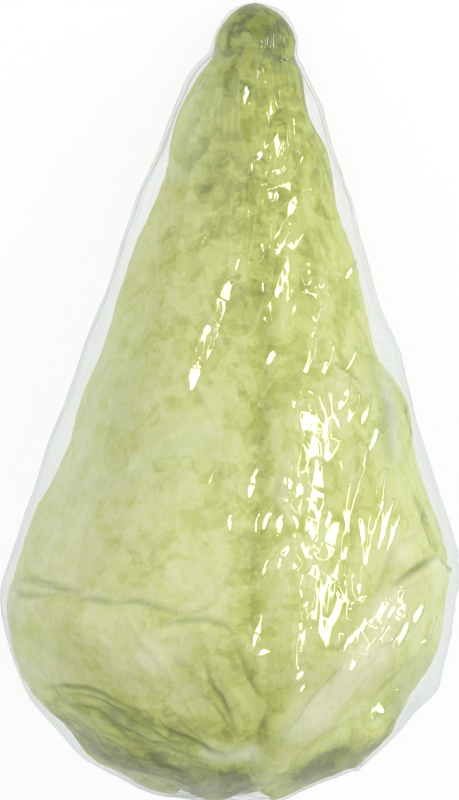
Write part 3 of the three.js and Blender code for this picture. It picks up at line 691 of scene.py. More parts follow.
def new_piece(name, bm):
    """A smooth-shaded object with the bmesh as its mesh."""
    mesh = bpy.data.meshes.new(name)
    bm.to_mesh(mesh)
    bm.free()
    mesh.shade_smooth()
    piece = bpy.data.objects.new(name, mesh)
    bpy.context.scene.collection.objects.link(piece)
    return piece


def corners(mesh):
    """The places of the mesh's corners."""
    places = np.empty(len(mesh.vertices) * 3, np.float32)
    mesh.vertices.foreach_get("co", places)
    return places.reshape(-1, 3).astype(float)


def move_corners(mesh, places):
    """Puts the mesh's corners at new places."""
    mesh.vertices.foreach_set("co", np.asarray(places, np.float32).ravel())
    mesh.update()


def store(mesh, name, values):
    """Keeps a number for each corner of the mesh, for its material."""
    attribute = mesh.attributes.new(name, "FLOAT", "POINT")
    attribute.data.foreach_set("value", np.asarray(values, np.float32))


def finished(piece, node, material):
    """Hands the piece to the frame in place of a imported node."""
    piece.data.materials.append(material)
    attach(piece, "root")
    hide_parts(node)


def depth_of_film(head, heights, rows, angles):
    """How deep under the film's outside a height over the head is."""
    return np.maximum(0.3, head.at(film_base(), rows, angles) - heights)


@functools.lru_cache(maxsize=1)
def film_base():
    """The film's heights before its wrinkles: taut over the leaves, off them at the sides."""
    head, tops = the_head(), layered()["tops"]
    skin = tops
    for _ in range(PULLS):
        skin = np.maximum(tops, head.blur(skin, PULL_SIZE))
    skin = np.maximum(tops, head.blur(skin, 1.6))
    most = head.blur(tops, 6) + np.interp(head.distance, *np.array(FILM_BRIDGES).T)[:, None]
    skin = np.maximum(tops, head.blur(np.minimum(skin, most), 1))
    gaps = np.array(FILM_GAPS, float)
    rows = head.row_outside(gaps[:, 0])
    left, right = (np.interp(np.arange(ROWS + 1), rows, gaps[:, side])[:, None] for side in (1, 2))
    across = np.sin(np.radians(head.angles))[None]
    gap = np.where(across < 0, left, right) * np.abs(across) ** 3
    clear = FILM_CLEAR * np.interp(head.distance, (222, 240), (1, 0.45))[:, None]
    return skin + clear + head.blur(gap, 2)


def tone_at(head, rows, angles):
    """How green the leaves are at a place: pale low on the left, which is a painted veil of light,
    greener to the tip, and greener at the base, where shade is painted.
    """
    tone = np.interp(head.station(head.outside, rows), *np.array(TONE_AND_BASE_SHADE).T)
    left = np.clip((-np.sin(np.radians(angles)) - 0.35) / 0.5, 0, 1)
    return tone - PALE_LEFT_VEIL * left * left * (3 - 2 * left)


def give_wall(piece, thickness, share):
    """Thickens a sheet inwards, by its share of the thickness at each corner."""
    thins = piece.vertex_groups.new(name="wall")
    steps = np.round(share * WALL_STEPS).astype(int)
    for step in np.unique(steps):
        thins.add(np.flatnonzero(steps == step).tolist(), step / WALL_STEPS, "REPLACE")
    wall = piece.modifiers.new("Wall", "SOLIDIFY")
    wall.thickness = thickness * MM
    wall.offset = -1
    wall.vertex_group = thins.name


def leaf_piece(name, leaf, seed, material):
    """A leaf laid on its bed, a sheet with a wall and a rounded rim."""
    head, fields = the_head(), layered()
    bm = bmesh.new()
    bm.loops.layers.uv.new("UVMap")
    bmesh.ops.create_grid(bm, x_segments=leaf["across"], y_segments=leaf["along"], size=1, calc_uvs=True)
    piece = new_piece("cabbage_" + name, bm)
    mesh = piece.data
    grid = corners(mesh)
    u, v = grid[:, 0], (grid[:, 1] + 1) / 2
    angles, rows = spread(leaf, head, u, v, seed)
    relief, vein, edge = leaf_relief(leaf, head, u, v, rows, seed)
    share = wall_share(edge)
    heights = laid(leaf, head, fields["beds"][name], rows, angles, edge) + leaf["thickness"] * share + relief
    form, fold_shade = creased(head, rows, angles)
    heights += form
    move_corners(mesh, head.points(rows, angles, heights, depth_of_film(head, heights, rows, angles)))
    blotch = noise(u * 3, v * 5, seed, 31) + 0.6 * noise(u * 8, v * 12, seed, 32)
    tone = leaf["tone"] + tone_at(head, rows, angles) + 0.06 * blotch
    # greener where shade is painted along the folds and at the base, besides the leaves' own tone
    for line, half_width, more in TONE_AND_SHADE_LINES:
        tone += more * head.near(line, half_width, rows, angles)
    store(mesh, "tone", np.clip(tone, 0, 1))
    store(mesh, "vein", vein)
    # the shade painted along the folds and in the hollow, for the material
    store(mesh, "fold_shade", fold_shade)
    give_wall(piece, leaf["thickness"], share)
    finished(piece, name, material)


def skin_places(ball, crowd, middle):
    """The rows and angles of places on a unit ball. crowd draws them to an angle."""
    turn = np.arctan2(ball[:, 0], -ball[:, 1])
    high = ball[:, 2] / np.linalg.norm(ball, axis=1)
    rows = np.arccos(np.clip(-high, -1, 1)) / np.pi * ROWS
    return rows, np.degrees(turn - crowd * np.sin(turn - math.radians(middle)))


def closed_skin(name, around, along, crowd=0, middle=0, finer=None):
    """A closed skin over the head, with its rows and angles. finer tells where it needs a closer mesh."""
    bm = bmesh.new()
    bmesh.ops.create_uvsphere(bm, u_segments=around, v_segments=along, radius=1)
    if finer:
        ball = np.array([corner.co for corner in bm.verts])
        bm.verts.index_update()
        close = finer(*skin_places(ball, crowd, middle))
        edges = [edge for edge in bm.edges if any(close[corner.index] for corner in edge.verts)]
        bmesh.ops.subdivide_edges(bm, edges=edges, cuts=2, use_grid_fill=True)
    piece = new_piece(name, bm)
    return piece, *skin_places(corners(piece.data), crowd, middle)


# The stem and its core from the cut face up, as (radius, distance), and the sides they are spun to.
STEM_PROFILE = [
    (0, 5.6), (6, 5.3), (11, 5.0), (12.6, 5.6), (13.2, 7.5), (12.8, 14), (12.4, 28), (7, 80), (3, 84),
    (0, 85),
]  # fmt: skip
STEM_SIDES = 64
HEART_FACES = (96, 120)  # round the heart and along it


def heart_piece(material):
    """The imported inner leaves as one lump, which shows only where the leaves part."""
    head, fields = the_head(), layered()
    piece, rows, angles = closed_skin("cabbage_packed_heart", *HEART_FACES)
    heights = head.at(fields["base"] + fields["form"], rows, angles) * np.clip(rows / 20, 0, 1)
    depth = depth_of_film(head, heights, rows, angles)
    move_corners(piece.data, head.points(rows, angles, heights, depth))
    store(piece.data, "tone", tone_at(head, rows, angles))
    for name in ("vein", "fold_shade"):
        store(piece.data, name, np.zeros(len(rows)))
    finished(piece, "heart_leaves", material)


def stem_piece(material):
    """The cut stem: a short stump with a rough cut face, and the core above it."""
    bm = bmesh.new()
    line = [bm.verts.new((radius, 0, distance)) for radius, distance in STEM_PROFILE]
    edges = [bm.edges.new(pair) for pair in zip(line, line[1:])]
    bmesh.ops.spin(
        bm, geom=line + edges, cent=(0, 0, 0), axis=(0, 0, 1), angle=2 * math.pi, steps=STEM_SIDES,
        use_merge=True, use_duplicate=False,
    )
    bmesh.ops.remove_doubles(bm, verts=bm.verts, dist=1e-3)
    bmesh.ops.recalc_face_normals(bm, faces=bm.faces)
    piece = new_piece("cabbage_cut_stem", bm)
    spun = corners(piece.data)
    radius = np.hypot(spun[:, 0], spun[:, 1])
    turn = np.arctan2(spun[:, 0], -spun[:, 1])
    radius *= 1 + 0.05 * np.sin(5 * turn + 1) + 0.03 * np.sin(9 * turn)
    places = head_place(radius * np.sin(turn), spun[:, 2], radius * np.cos(turn))
    move_corners(piece.data, np.stack(places, 1))
    finished(piece, "stem_core", material)


# Rows of short puckers across the film: middle angle, distance, half width in degrees, and
# length along the head.
PUCKERS = [
    (6, 180.1, 5, 8), (-15, 175.9, 5, 4), (-18, 114.4, 6, 2), (-1, 139.1, 7, 4), (18, 122.1, 6, 4),
    (-45, 135.7, 6, 3), (0, 70.8, 7, 5), (15, 71.6, 8, 5), (11, 61.3, 6, 3), (-31, 67.7, 8, 6),
    (20, 113.7, 4, 5), (34, 105.1, 4, 4), (8, 183.5, 4, 4),
]  # fmt: skip
PUCKER_SPACING = 2.4  # from one pucker of a row to the next

# Families of long creases: their lean in radians, width, length and height, and their seed.
FILM_CREASES = [
    (0.0, 4.2, 60, 0.34, 43), (0.5, 4.0, 36, 0.3, 46), (-0.35, 4.6, 44, 0.26, 49),
    (0.12, 2.6, 34, 0.14, 55),
]  # fmt: skip
FACETS_ROUND = 60  # flat facets of the taut film round the head
FILM_FACES = (168, 308)  # round the film and along it,
FILM_CROWDING = (0.72, 24)  # and how much they crowd, and to what angle

MAX_SLOPE = 0.95  # the steepest that the face of a drawn crease may stand,
MAX_CLIMB = 0.34  # and that it may rise along its length,
CREASE_CLIMB = 2.2  # and how far at most it rises from one end to the other
BLADE_TAPER = 0.35  # share of its length over which each end narrows
RAGGED = 0.22  # how uneven it is in width
CALM_REACH = 1.6  # how many half widths round it have no other wrinkles,
CREASED = 0.3  # and how calm the film is where its mesh is made finer
CREASED_SIDE = 22  # degrees, the middle of the side where most of them are
KEY_SHARES = (-0.42, -0.28, -0.14, 0, 0.14, 0.28, 0.42)  # where they may aim along the key lamp

# Creases drawn in the film: the line and its half width.
STREAKS = [
    ([(44, 195.8), (36, 190.4), (26, 185.6), (17, 179.4), (10, 172.5), (6, 167.6)], 1.8),
    ([(5, 189.7), (11, 190.4), (20, 192.4), (29, 195.8), (35, 200)], 1.1),
    ([(33, 201.4), (24, 199.3), (14, 195.8), (8, 192.4)], 1),
    ([(24, 197.9), (16, 193.8)], 0.8),
    ([(8, 200.7), (6, 198.6)], 1),
    ([(29, 163.5), (32, 159.3), (35, 156.5)], 1.2),
    ([(46, 162.8), (39, 158.6), (32, 152.3)], 1.3),
    ([(29, 158.6), (38, 160.7)], 1),
    ([(34, 155.8), (30, 148.9)], 1.1),
    ([(32, 165.5), (29, 161.4)], 1),
    ([(-6, 160), (-8, 155.1), (-10, 148.9)], 1.9),
    ([(-11, 148.2), (-13, 143.3), (-15, 138.5)], 2.1),
    ([(-15, 139.1), (-16, 133.7), (-17, 127.6)], 1.8),
    ([(-9, 147.5), (-11, 141.9), (-13, 136.4)], 1),
    ([(13, 140.5), (10, 136.4)], 1.1),
    ([(30, 148.2), (27, 140.5)], 1),
    ([(29, 144), (24, 133.7)], 1),
    ([(22, 124.8), (22, 116.5), (25, 110.8)], 1.7),
    ([(30, 117.9), (31, 113.7), (26, 107.2)], 1.6),
    ([(26, 116.5), (22, 112.2), (19, 105.1)], 1.5),
    ([(25, 107.2), (24, 99.2), (22, 90.7), (20, 83.5), (15, 76.1)], 2),
    ([(20, 110.1), (18, 105.8), (21, 102.1)], 1.4),
    ([(14, 97.1), (18, 94.3), (20, 96.4)], 1.4),
    ([(19, 100.7), (17, 93.5), (18, 87.8)], 1.5),
    ([(16, 83.5), (13, 79.8), (12, 76.8)], 1.3),
    ([(29, 90), (26, 83.5), (22, 77.6), (20, 71.6)], 1.8),
    ([(41, 111.5), (37, 102.9), (33, 93.5), (31, 83.5), (29, 74.6)], 1.1),
    ([(47, 105.1), (44, 96.4), (39, 86.4), (36, 75.3)], 1),
    ([(48, 96.4), (42, 83.5)], 1),
    ([(37, 91.4), (37, 83.5)], 0.9),
    ([(50, 92.1), (45, 82.7)], 0.9),
    ([(6, 105.1), (5, 100.7), (4, 97.1)], 1.2),
    ([(16, 102.1), (17, 98.5)], 1),
    ([(-1, 91.4), (-1, 87.1)], 1.1),
    ([(7, 92.1), (6, 87.1)], 1.1),
    ([(10, 92.8), (8, 87.8)], 1),
    ([(13, 91.4), (12, 87.1)], 1.1),
    ([(8, 62.1), (7, 58), (6, 52.9)], 1.1),
    ([(7, 52.1), (10, 52.9)], 0.9),
    ([(21, 70), (20, 65.4), (18, 59.6)], 1.7),
    ([(19, 59.6), (18, 53.8), (18, 47.9)], 1.4),
    ([(22, 67.7), (21, 61.3)], 1.1),
    ([(17, 64.6), (20, 62.9)], 1.1),
    ([(32, 75.3), (32, 69.3), (31, 62.1), (29, 54.6)], 1.2),
    ([(29, 70.8), (34, 67.7), (36, 69.3)], 1.2),
    ([(30, 75.3), (32, 70)], 1),
    ([(35, 72.3), (32, 66.9)], 1),
    ([(27, 72.3), (25, 64.6)], 1),
    ([(43, 66.9), (39, 59.6), (34, 52.9), (32, 47.9)], 1.8),
    ([(49, 70), (49, 64.6), (44, 57.1)], 1.7),
    ([(46, 66.1), (41, 59.6), (37, 52.1)], 1.1),
    ([(53, 39.7), (51, 35), (47, 32)], 2),
    ([(57, 66.1), (53, 60.5)], 1.1),
    ([(64, 62.1), (60, 54.6)], 0.9),
    ([(22, 29.5), (20, 27)], 1),
    ([(20, 47), (18, 44.6)], 0.9),
    ([(21, 42.9), (19, 40.5)], 0.9),
    ([(-4, 221.6), (-5, 216.3)], 1),
    ([(26, 232.2), (37, 231.5)], 0.9),
    ([(59, 168.3), (53, 162.8)], 0.9),
    ([(-21, 173.8), (-22, 169.7)], 0.8),
    ([(-2, 169), (-4, 164.1)], 0.8),
    ([(22, 175.9), (15, 171.1)], 0.9),
    ([(31, 176.6), (23, 171.8)], 0.9),
    ([(39, 131.7), (34, 123.4)], 1.1),
    ([(41, 126.9), (37, 120)], 1),
    ([(47, 126.9), (42, 118.6)], 0.9),
    ([(49, 120), (43, 110.8)], 1),
    ([(46, 141.2), (40, 134.4)], 0.8),
    ([(52, 61.3), (48, 54.6)], 1),
    ([(9, 79.1), (8, 74.6)], 0.9),
    ([(39, 56.3), (36, 50.4)], 0.8),
    ([(-6, 104.3), (-8, 99.9)], 0.8),
    ([(-22, 100.7), (-22, 95.7)], 0.8),
    ([(36, 141.9), (30, 133.7)], 1),
]  # fmt: skip

MILKY_ALL_OVER = 0.008
# Where the film is milky besides: the line, its half width, and how much. It is partly the
# film's own milkiness where it is doubled or stands off the leaves, and partly painted light, a
# pale veil of reflection, broadest on the left side.
HAZE_AND_SHEEN = [
    ([(-56, 233.8), (-38, 214.9), (-41, 197.2)], 5.5, 0.12),
    ([(-53, 95.7), (-30, 104.3), (-12, 113)], 3.5, 0.07),
    ([(65, 142.6), (59, 126.2), (56, 111.5)], 3.5, 0.35),
    ([(75, 47.9), (67, 38.9), (72, 27.8)], 4.5, 0.45),
    ([(-70, 63.8), (-76, 48.7), (-80, 31.2)], 3, 0.2),
    ([(20, 23.8), (29, 38.1)], 5, 0.05),
    ([(-53, 99.2), (-51, 132.3)], 14, 0.05),
    ([(-61, 6.2), (-56, 1.9)], 3, 0.3),
    ([(86, 213.4), (84, 204.2)], 3, 0.25),
    ([(-3, 18.7), (7, 18.1)], 4, 0.12),
    ([(86, 101.4), (78, 77.6)], 3, 0.2),
]  # fmt: skip


def key_points():
    """Places along the key lamp's strip, from one end to the other."""
    place = lamp_place(*KEY)
    along = (place - LAMP_TARGET).to_track_quat("Z", "Y") @ Vector((1, 0, 0))
    return [place + along * KEY_SIZE[0] * share for share in KEY_SHARES]


@functools.lru_cache(maxsize=1)
def taut_film():
    """The film's base height where a crease pulls it taut over the small relief."""
    return the_head().blur(film_base(), 2.5)


@functools.lru_cache(maxsize=1)
def glint_slopes():
    """The slopes, along the columns and along the rows, that would turn the film to each key point."""
    head = the_head()
    skin = taut_film()
    place = head.points(*head.grid(), skin.ravel(), np.zeros(skin.size)).reshape(ROWS + 1, COLUMNS, 3)
    across = np.roll(place, -1, 1) - np.roll(place, 1, 1)
    along = np.gradient(place, axis=0)

    def unit(field):
        return field / np.maximum(np.linalg.norm(field, axis=-1, keepdims=True), 1e-9)

    across, along = unit(across), unit(along)
    out = unit(np.cross(across, along))
    to_camera = unit(np.array(camera_place()[1]) - place)
    slopes = []
    for point in key_points():
        half = unit(unit(np.array(point) - place) + to_camera)
        facing = np.maximum((half * out).sum(-1), 0.2)
        slopes.append([-(half * across).sum(-1) / facing, -(half * along).sum(-1) / facing])
    return np.array(slopes)


def cell_at(head, angle, distance):
    """The row and the column of the grid nearest to a place on the outer leaves."""
    return int(head.row_outside(distance)), round(angle / 360 * COLUMNS) % COLUMNS


def glint_slopes_at(head, angle, distance, way_x, way_y):
    """The pair of slope fields that tilts a crease of that direction the least along itself."""
    row, column = cell_at(head, angle, distance)
    slopes = glint_slopes()
    leans = slopes[:, 0, row, column] * way_x + slopes[:, 1, row, column] * way_y
    return slopes[np.argmin(np.abs(leans))]


@functools.lru_cache(maxsize=1)
def row_stretch():
    """How much farther apart the rows are on the outer leaves than on the heart."""
    head = the_head()
    places = head.points(np.arange(ROWS + 1.0), CREASED_SIDE, OUTER_HEIGHT, 0)
    return np.linalg.norm(np.gradient(places, axis=0), axis=1) / MM / head.row_size


def blade(head, line, half_width, seed, rows, angles):
    """A drawn crease's height at places, and how far they are from its line. It is like a blade:
    one long face, turned to the key lamp, ends sharply below and softly above."""
    nearest, face = np.full(len(rows), 1e9), np.zeros(len(rows))
    points = np.asarray(line, float)
    middles = (points[1:] + points[:-1]) / 2
    pieces = list(head.stretches(line, 3.5 * half_width, rows, angles))
    whole = max(piece[1].max(initial=1) for piece in pieces)
    for middle, (near, passed, off_x, off_y, way_x, way_y) in zip(middles, pieces):
        if len(near) == 0:
            continue
        toward = glint_slopes_at(head, *middle, way_x.mean(), way_y.mean())
        toward_x, toward_y = (head.at(field, rows[near], angles[near]) for field in toward)
        toward_y *= head.station(row_stretch(), rows[near])
        slope = np.clip(toward_y * way_x - toward_x * way_y, -MAX_SLOPE, MAX_SLOPE)
        most = min(MAX_CLIMB, CREASE_CLIMB / whole)
        climb = np.clip(toward_x * way_x + toward_y * way_y, -most, most)
        offset = off_y * way_x - off_x * way_y
        raised = slope * offset + 0.5 * np.abs(slope) * half_width
        raised += climb * (passed - whole / 2) + np.abs(climb) * whole / 2
        tip = np.clip(np.minimum(passed, whole - passed) / whole / BLADE_TAPER, 0, 1)
        ragged = 1 + RAGGED * noise(passed / 2.2, np.sign(offset) * 3, seed, 71)
        size = half_width * ragged * (0.45 + 0.65 * tip**0.7)
        away = np.hypot(off_x, off_y)
        below = np.exp(-((away / size) ** 8))
        above = np.exp(-((np.maximum(0, away - 0.8 * size) / (0.6 * half_width)) ** 2))
        shape = raised * np.where(slope * offset > 0, above, below)
        face[near] = np.where(away < nearest[near], shape, face[near])
        nearest[near] = np.minimum(nearest[near], away)
    return face, nearest


def drawn_creases(head, rows, angles):
    """The height of all the drawn creases at places, and how calm they hold the film round them."""
    total, calm = np.zeros((2, len(rows)))
    for seed, (line, half_width) in enumerate(STREAKS):
        face, away = blade(head, line, half_width, seed, rows, angles)
        total += face
        calm = np.maximum(calm, np.exp(-((away / half_width / CALM_REACH) ** 4)))
    return total, calm


def facets(x, y, seed):
    """A random field from -1 to 1 of flat three-sided facets one unit wide. x repeats after its
    whole number of facets round the head, which is FACETS_ROUND."""
    lattice = np.random.default_rng(seed).uniform(-1, 1, (FACETS_ROUND, 64))
    i, j = np.floor(x).astype(int), np.floor(y).astype(int)
    u, v = x - i, y - j
    left, right, low, high = i % FACETS_ROUND, (i + 1) % FACETS_ROUND, j % 64, (j + 1) % 64
    a, b, c, d = lattice[left, low], lattice[right, low], lattice[left, high], lattice[right, high]
    return np.where(u + v < 1, a + (b - a) * u + (c - a) * v, d + (c - d) * (1 - u) + (b - d) * (1 - v))


def long_creases(around, distance):
    """The heights of the film's long taut creases, each family with its own lean."""
    height = 0
    for lean, width, length, size, seed in FILM_CREASES:
        across = around * math.cos(lean) - distance * math.sin(lean)
        along = around * math.sin(lean) + distance * math.cos(lean)
        bend = 0.8 * noise(across / 40, along / 45, seed, seed)
        field = noise(across / width + bend, along / length, seed + 0.5, seed + 1)
        where = np.clip(0.1 + 1.6 * noise(across / 22, along / 30, seed, seed + 2), 0, 1)
        height = height + size * where * np.clip(1 - np.abs(field) / 0.36, 0, 1) ** 1.5
    return height


def film_wrinkles(head, rows, angles):
    """The film's own relief, which is facets, creases, puckers and the gathered end, and where a
    drawn crease holds it calm."""
    turn = np.radians(angles)
    distance = head.station(head.distance, rows)
    radius = head.station(head.radius, rows) + OUTER_HEIGHT
    x, z = radius * np.sin(turn), radius * np.cos(turn)
    bend = 0.6 * noise(x / 25, distance / 30, z / 25, 43)
    height = 0.25 * noise(x / 19, distance / 26, z / 19, 41)
    cells = turn / (2 * np.pi) * FACETS_ROUND
    flat = np.interp(distance, (216, 232), (1, 0.25))
    height += 0.2 * flat * facets(cells + 0.045 * distance + bend, distance / 16 + bend, 44)
    height += 0.1 * flat * facets(2 * cells - 0.12 * distance, distance / 8 + bend, 45)
    height += long_creases(turn * 45, distance)
    for angle, middle, half, length in PUCKERS:
        away = (angles - angle + 180) % 360 - 180
        window = np.exp(-((away / half) ** 4)) * np.exp(-(((distance - middle) / length * 2) ** 4))
        pitch = np.radians(away) * radius / PUCKER_SPACING + 0.4 * noise(away / 4, distance / 9, middle, 52)
        phase = pitch % 1
        slope = glint_slopes_at(head, angle, middle, 0, 1)[0][cell_at(head, angle, middle)]
        fold = np.where(phase < 0.5, phase - 0.25, 0.75 - phase) * np.clip(slope, -0.6, 0.6) * PUCKER_SPACING
        fold += 0.12 * np.where(phase > 0.5, np.sin(2 * np.pi * phase) ** 2, 0)
        height = height * (1 - window) + window * fold
    drawn, calm = drawn_creases(head, rows, angles)
    height = height * (1 - calm) + drawn
    gathered = np.exp(-head.station(head.radius, rows) / 14) * (rows < ROWS / 3)
    pleats = np.cos(15 * turn + 3 * noise(x / 20, 0, z / 20, 53)) + 0.6 * np.cos(34 * turn)
    return height + gathered * pleats * np.clip(rows / 8, 0, 1), calm


def film_piece(material):
    """The clear wrap, one closed thin skin."""
    head = the_head()
    piece, rows, angles = closed_skin(
        "clear_film_wrap", *FILM_FACES, *FILM_CROWDING,
        lambda *place: drawn_creases(head, *place)[1] > CREASED,
    )  # fmt: skip
    wrinkles, calm = film_wrinkles(head, rows, angles)
    base = (1 - calm) * head.at(film_base(), rows, angles) + calm * head.at(taut_film(), rows, angles)
    pole = np.clip(np.minimum(rows, ROWS - rows) / 14, 0, 1)
    mean = np.where(rows < ROWS / 2, film_base()[:10].mean(), film_base()[-10:].mean())
    heights = mean + (base - mean + wrinkles) * pole
    heights = np.maximum(heights, head.at(layered()["tops"], rows, angles) + FILM_TOUCH)
    move_corners(piece.data, head.points(rows, angles, heights, np.zeros(len(rows))))
    # milky places, partly painted light: a pale veil of reflection laid on the film
    hazes_and_sheen = (more * head.near(line, half_width, rows, angles) for line, half_width, more in HAZE_AND_SHEEN)
    milky_and_sheen = MILKY_ALL_OVER + sum(hazes_and_sheen)
    milky_and_sheen *= 1 + 0.35 * noise(angles / 14, rows / 22, 3, 61)
    store(piece.data, "milky_and_sheen", np.clip(milky_and_sheen, 0, 1))
    finished(piece, "film_wrap", material)


# --- Materials --------------------------------------------------------------------------------


def linear(hex_colour):
    """An sRGB hex colour as linear red, green, blue and full cover."""
    parts = [int(hex_colour[i : i + 2], 16) / 255 for i in (1, 3, 5)]
    return *(c / 12.92 if c <= 0.04045 else ((c + 0.055) / 1.055) ** 2.4 for c in parts), 1


def add_node(tree, kind, inputs=None, **settings):
    """A node of that kind with its settings, and its sockets set or linked."""
    made = tree.nodes.new(kind)
    for name, value in settings.items():
        setattr(made, name, value)
    for socket, value in (inputs or {}).items():
        if isinstance(value, bpy.types.NodeSocket):
            tree.links.new(value, made.inputs[socket])
        else:
            made.inputs[socket].default_value = value
    return made


def maths(tree, operation, *values):
    """What a maths node makes of numbers and sockets."""
    return add_node(tree, "ShaderNodeMath", dict(enumerate(values)), operation=operation).outputs[0]


def speckle(tree, place, size, detail, roughness=0.5, distortion=0):
    """A noise from 0 to 1 with features of a size in millimetres."""
    inputs = {"Vector": place, "Scale": 1 / (size * MM), "Detail": detail, "Roughness": roughness}
    return add_node(tree, "ShaderNodeTexNoise", {**inputs, "Distortion": distortion}).outputs["Fac"]


def stepped(tree, value, start, end, low, high):
    """low up to the start, high from the end on, and even between them."""
    inputs = {"Value": value, "From Min": start, "From Max": end, "To Min": low, "To Max": high}
    return add_node(tree, "ShaderNodeMapRange", inputs).outputs[0]


def blended(tree, share, first, second):
    """The first colour turned to the second by a share."""
    mix = add_node(tree, "ShaderNodeMix", {0: share, 6: first, 7: second}, data_type="RGBA")
    return mix.outputs[2]


def layers(tree, share, first, second):
    """The first shader covered by the second by a share."""
    return add_node(tree, "ShaderNodeMixShader", {0: share, 1: first, 2: second}).outputs[0]


def rough_normals(tree, height, strength, depth):
    """The normals of a finely rough surface, its depth in millimetres."""
    inputs = {"Height": height, "Strength": strength, "Distance": depth * MM}
    return add_node(tree, "ShaderNodeBump", inputs).outputs["Normal"]


def new_material(name):
    """An empty material, its nodes, and the places on the piece that wears it."""
    material = bpy.data.materials.new(name)
    material.use_nodes = True
    tree = material.node_tree
    tree.nodes.clear()
    return material, tree, add_node(tree, "ShaderNodeTexCoord").outputs["Object"]


def attribute(tree, name):
    """A number kept for each corner of the mesh."""
    return add_node(tree, "ShaderNodeAttribute", attribute_name=name).outputs["Fac"]


def ramp(tree, share, stops):
    """Colours between the stops (place, hex colour)."""
    made = add_node(tree, "ShaderNodeValToRGB", {"Fac": share})
    elements = made.color_ramp.elements
    while len(elements) < len(stops):
        elements.new(0.5)
    for element, (place, colour) in zip(elements, stops):
        element.position = place
        element.color = linear(colour)
    return made.outputs["Color"]


# A leaf's colours, from the palest place to the greenest.
LEAF_COLOURS = [
    (0.0, "#e6e7bb"), (0.2, "#dadda4"), (0.42, "#ced580"), (0.5, "#c6ce6f"), (0.6, "#bcc45a"),
    (0.75, "#a3ac36"), (0.9, "#818a16"), (1.0, "#676e0c"),
]  # fmt: skip
VEIN_COLOUR = "#e0e3b0"
# The olive green of the shade painted into the folds and the hollow at the base.
FOLD_SHADE_COLOUR = "#828c2c"
LEAF_MOTTLES = [(14, 0.16), (4, 0.1), (1.4, 0.07)]  # soft ones: their size, and how much greener
LEAF_PATCHES = [(11, 0.14), (4.5, 0.11)]  # and those with an edge


def leaf_material(name, colours, roughness):
    """Fresh cabbage leaf: a waxy skin over pale watery flesh. The wax gives a soft broad sheen, and
    the flesh lets a little light through. The shade in the folds is painted in as an olive green,
    so they stay yellow-green and never go black."""
    material, tree, place = new_material(name)
    tone = attribute(tree, "tone")
    for size, share in LEAF_MOTTLES:
        mottle = maths(tree, "SUBTRACT", speckle(tree, place, size, 3.0, 0.6), 0.5)
        tone = maths(tree, "MULTIPLY_ADD", mottle, share, tone)
    for size, share in LEAF_PATCHES:
        patch = speckle(tree, place, size, 4.0, 0.55, 0.4)
        tone = maths(tree, "ADD", stepped(tree, patch, 0.5, 0.545, -share / 2, share / 2), tone)
    colour = ramp(tree, tone, colours)
    vein = maths(tree, "MULTIPLY", attribute(tree, "vein"), 0.3)
    colour = blended(tree, vein, colour, linear(VEIN_COLOUR))
    # Painted shade: the leaf turns olive green along the folds and in the hollow at the base.
    colour = blended(tree, attribute(tree, "fold_shade"), colour, linear(FOLD_SHADE_COLOUR))
    skin = add_node(
        tree, "ShaderNodeBsdfPrincipled",
        {
            "Base Color": colour, "Roughness": roughness, "IOR": 1.42,
            "Subsurface Weight": 0.12, "Subsurface Radius": (0.9, 1.0, 0.35), "Subsurface Scale": 0.003,
            "Normal": rough_normals(tree, speckle(tree, place, 1.6, 3.0), 0.35, 0.5),
        },
    )  # fmt: skip
    add_node(tree, "ShaderNodeOutputMaterial", {"Surface": skin.outputs[0]})
    return material


def stem_material():
    """A cut cabbage stump: pale watery pith, browned and dry where the knife went through. Its
    fibres make it the one dull, rough thing under the film."""
    material, tree, place = new_material("cut cabbage stem")
    fibres = speckle(tree, place, 3, 5.0, 0.65)
    colour = ramp(tree, fibres, [(0.3, "#c9bf92"), (0.5, "#ddd9b4"), (0.7, "#e8e6cb")])
    skin = add_node(
        tree, "ShaderNodeBsdfPrincipled",
        {"Base Color": colour, "Roughness": 0.6, "IOR": 1.4, "Normal": rough_normals(tree, fibres, 0.5, 0.6)},
    )  # fmt: skip
    add_node(tree, "ShaderNodeOutputMaterial", {"Surface": skin.outputs[0]})
    return material


# The film's colour seen through it flat on and edge on, and of its milky places, which carry
# the painted veil and sheen strokes too.
FILM_COLOUR, FILM_EDGE_COLOUR, MILKY_AND_SHEEN_COLOUR = "#fbfcfb", "#e6eaeb", "#cdd5d6"
FILM_STROKES = [(-0.6, 0.0), (-0.25, 3.0)]  # the turn of each family of fine painted sheen strokes, and its seed


def sheen_strokes(tree, place, turn, seed):
    """Fine pale strokes in loose groups, all drawn one way: painted sheen, the light that fine wrinkles in
    the film throw back.
    """
    drawn = add_node(
        tree, "ShaderNodeMapping",
        {"Vector": place, "Location": (seed, seed, 0), "Rotation": (0, 0, turn), "Scale": (1, 0.05, 0.4)},
    ).outputs[0]  # fmt: skip
    line = stepped(tree, speckle(tree, drawn, 0.7, 1.0), 0.6, 0.72, 0.0, 0.06)
    group = stepped(tree, speckle(tree, drawn, 12, 1.0), 0.5, 0.62, 0.0, 1.0)
    return maths(tree, "MULTIPLY", line, group)


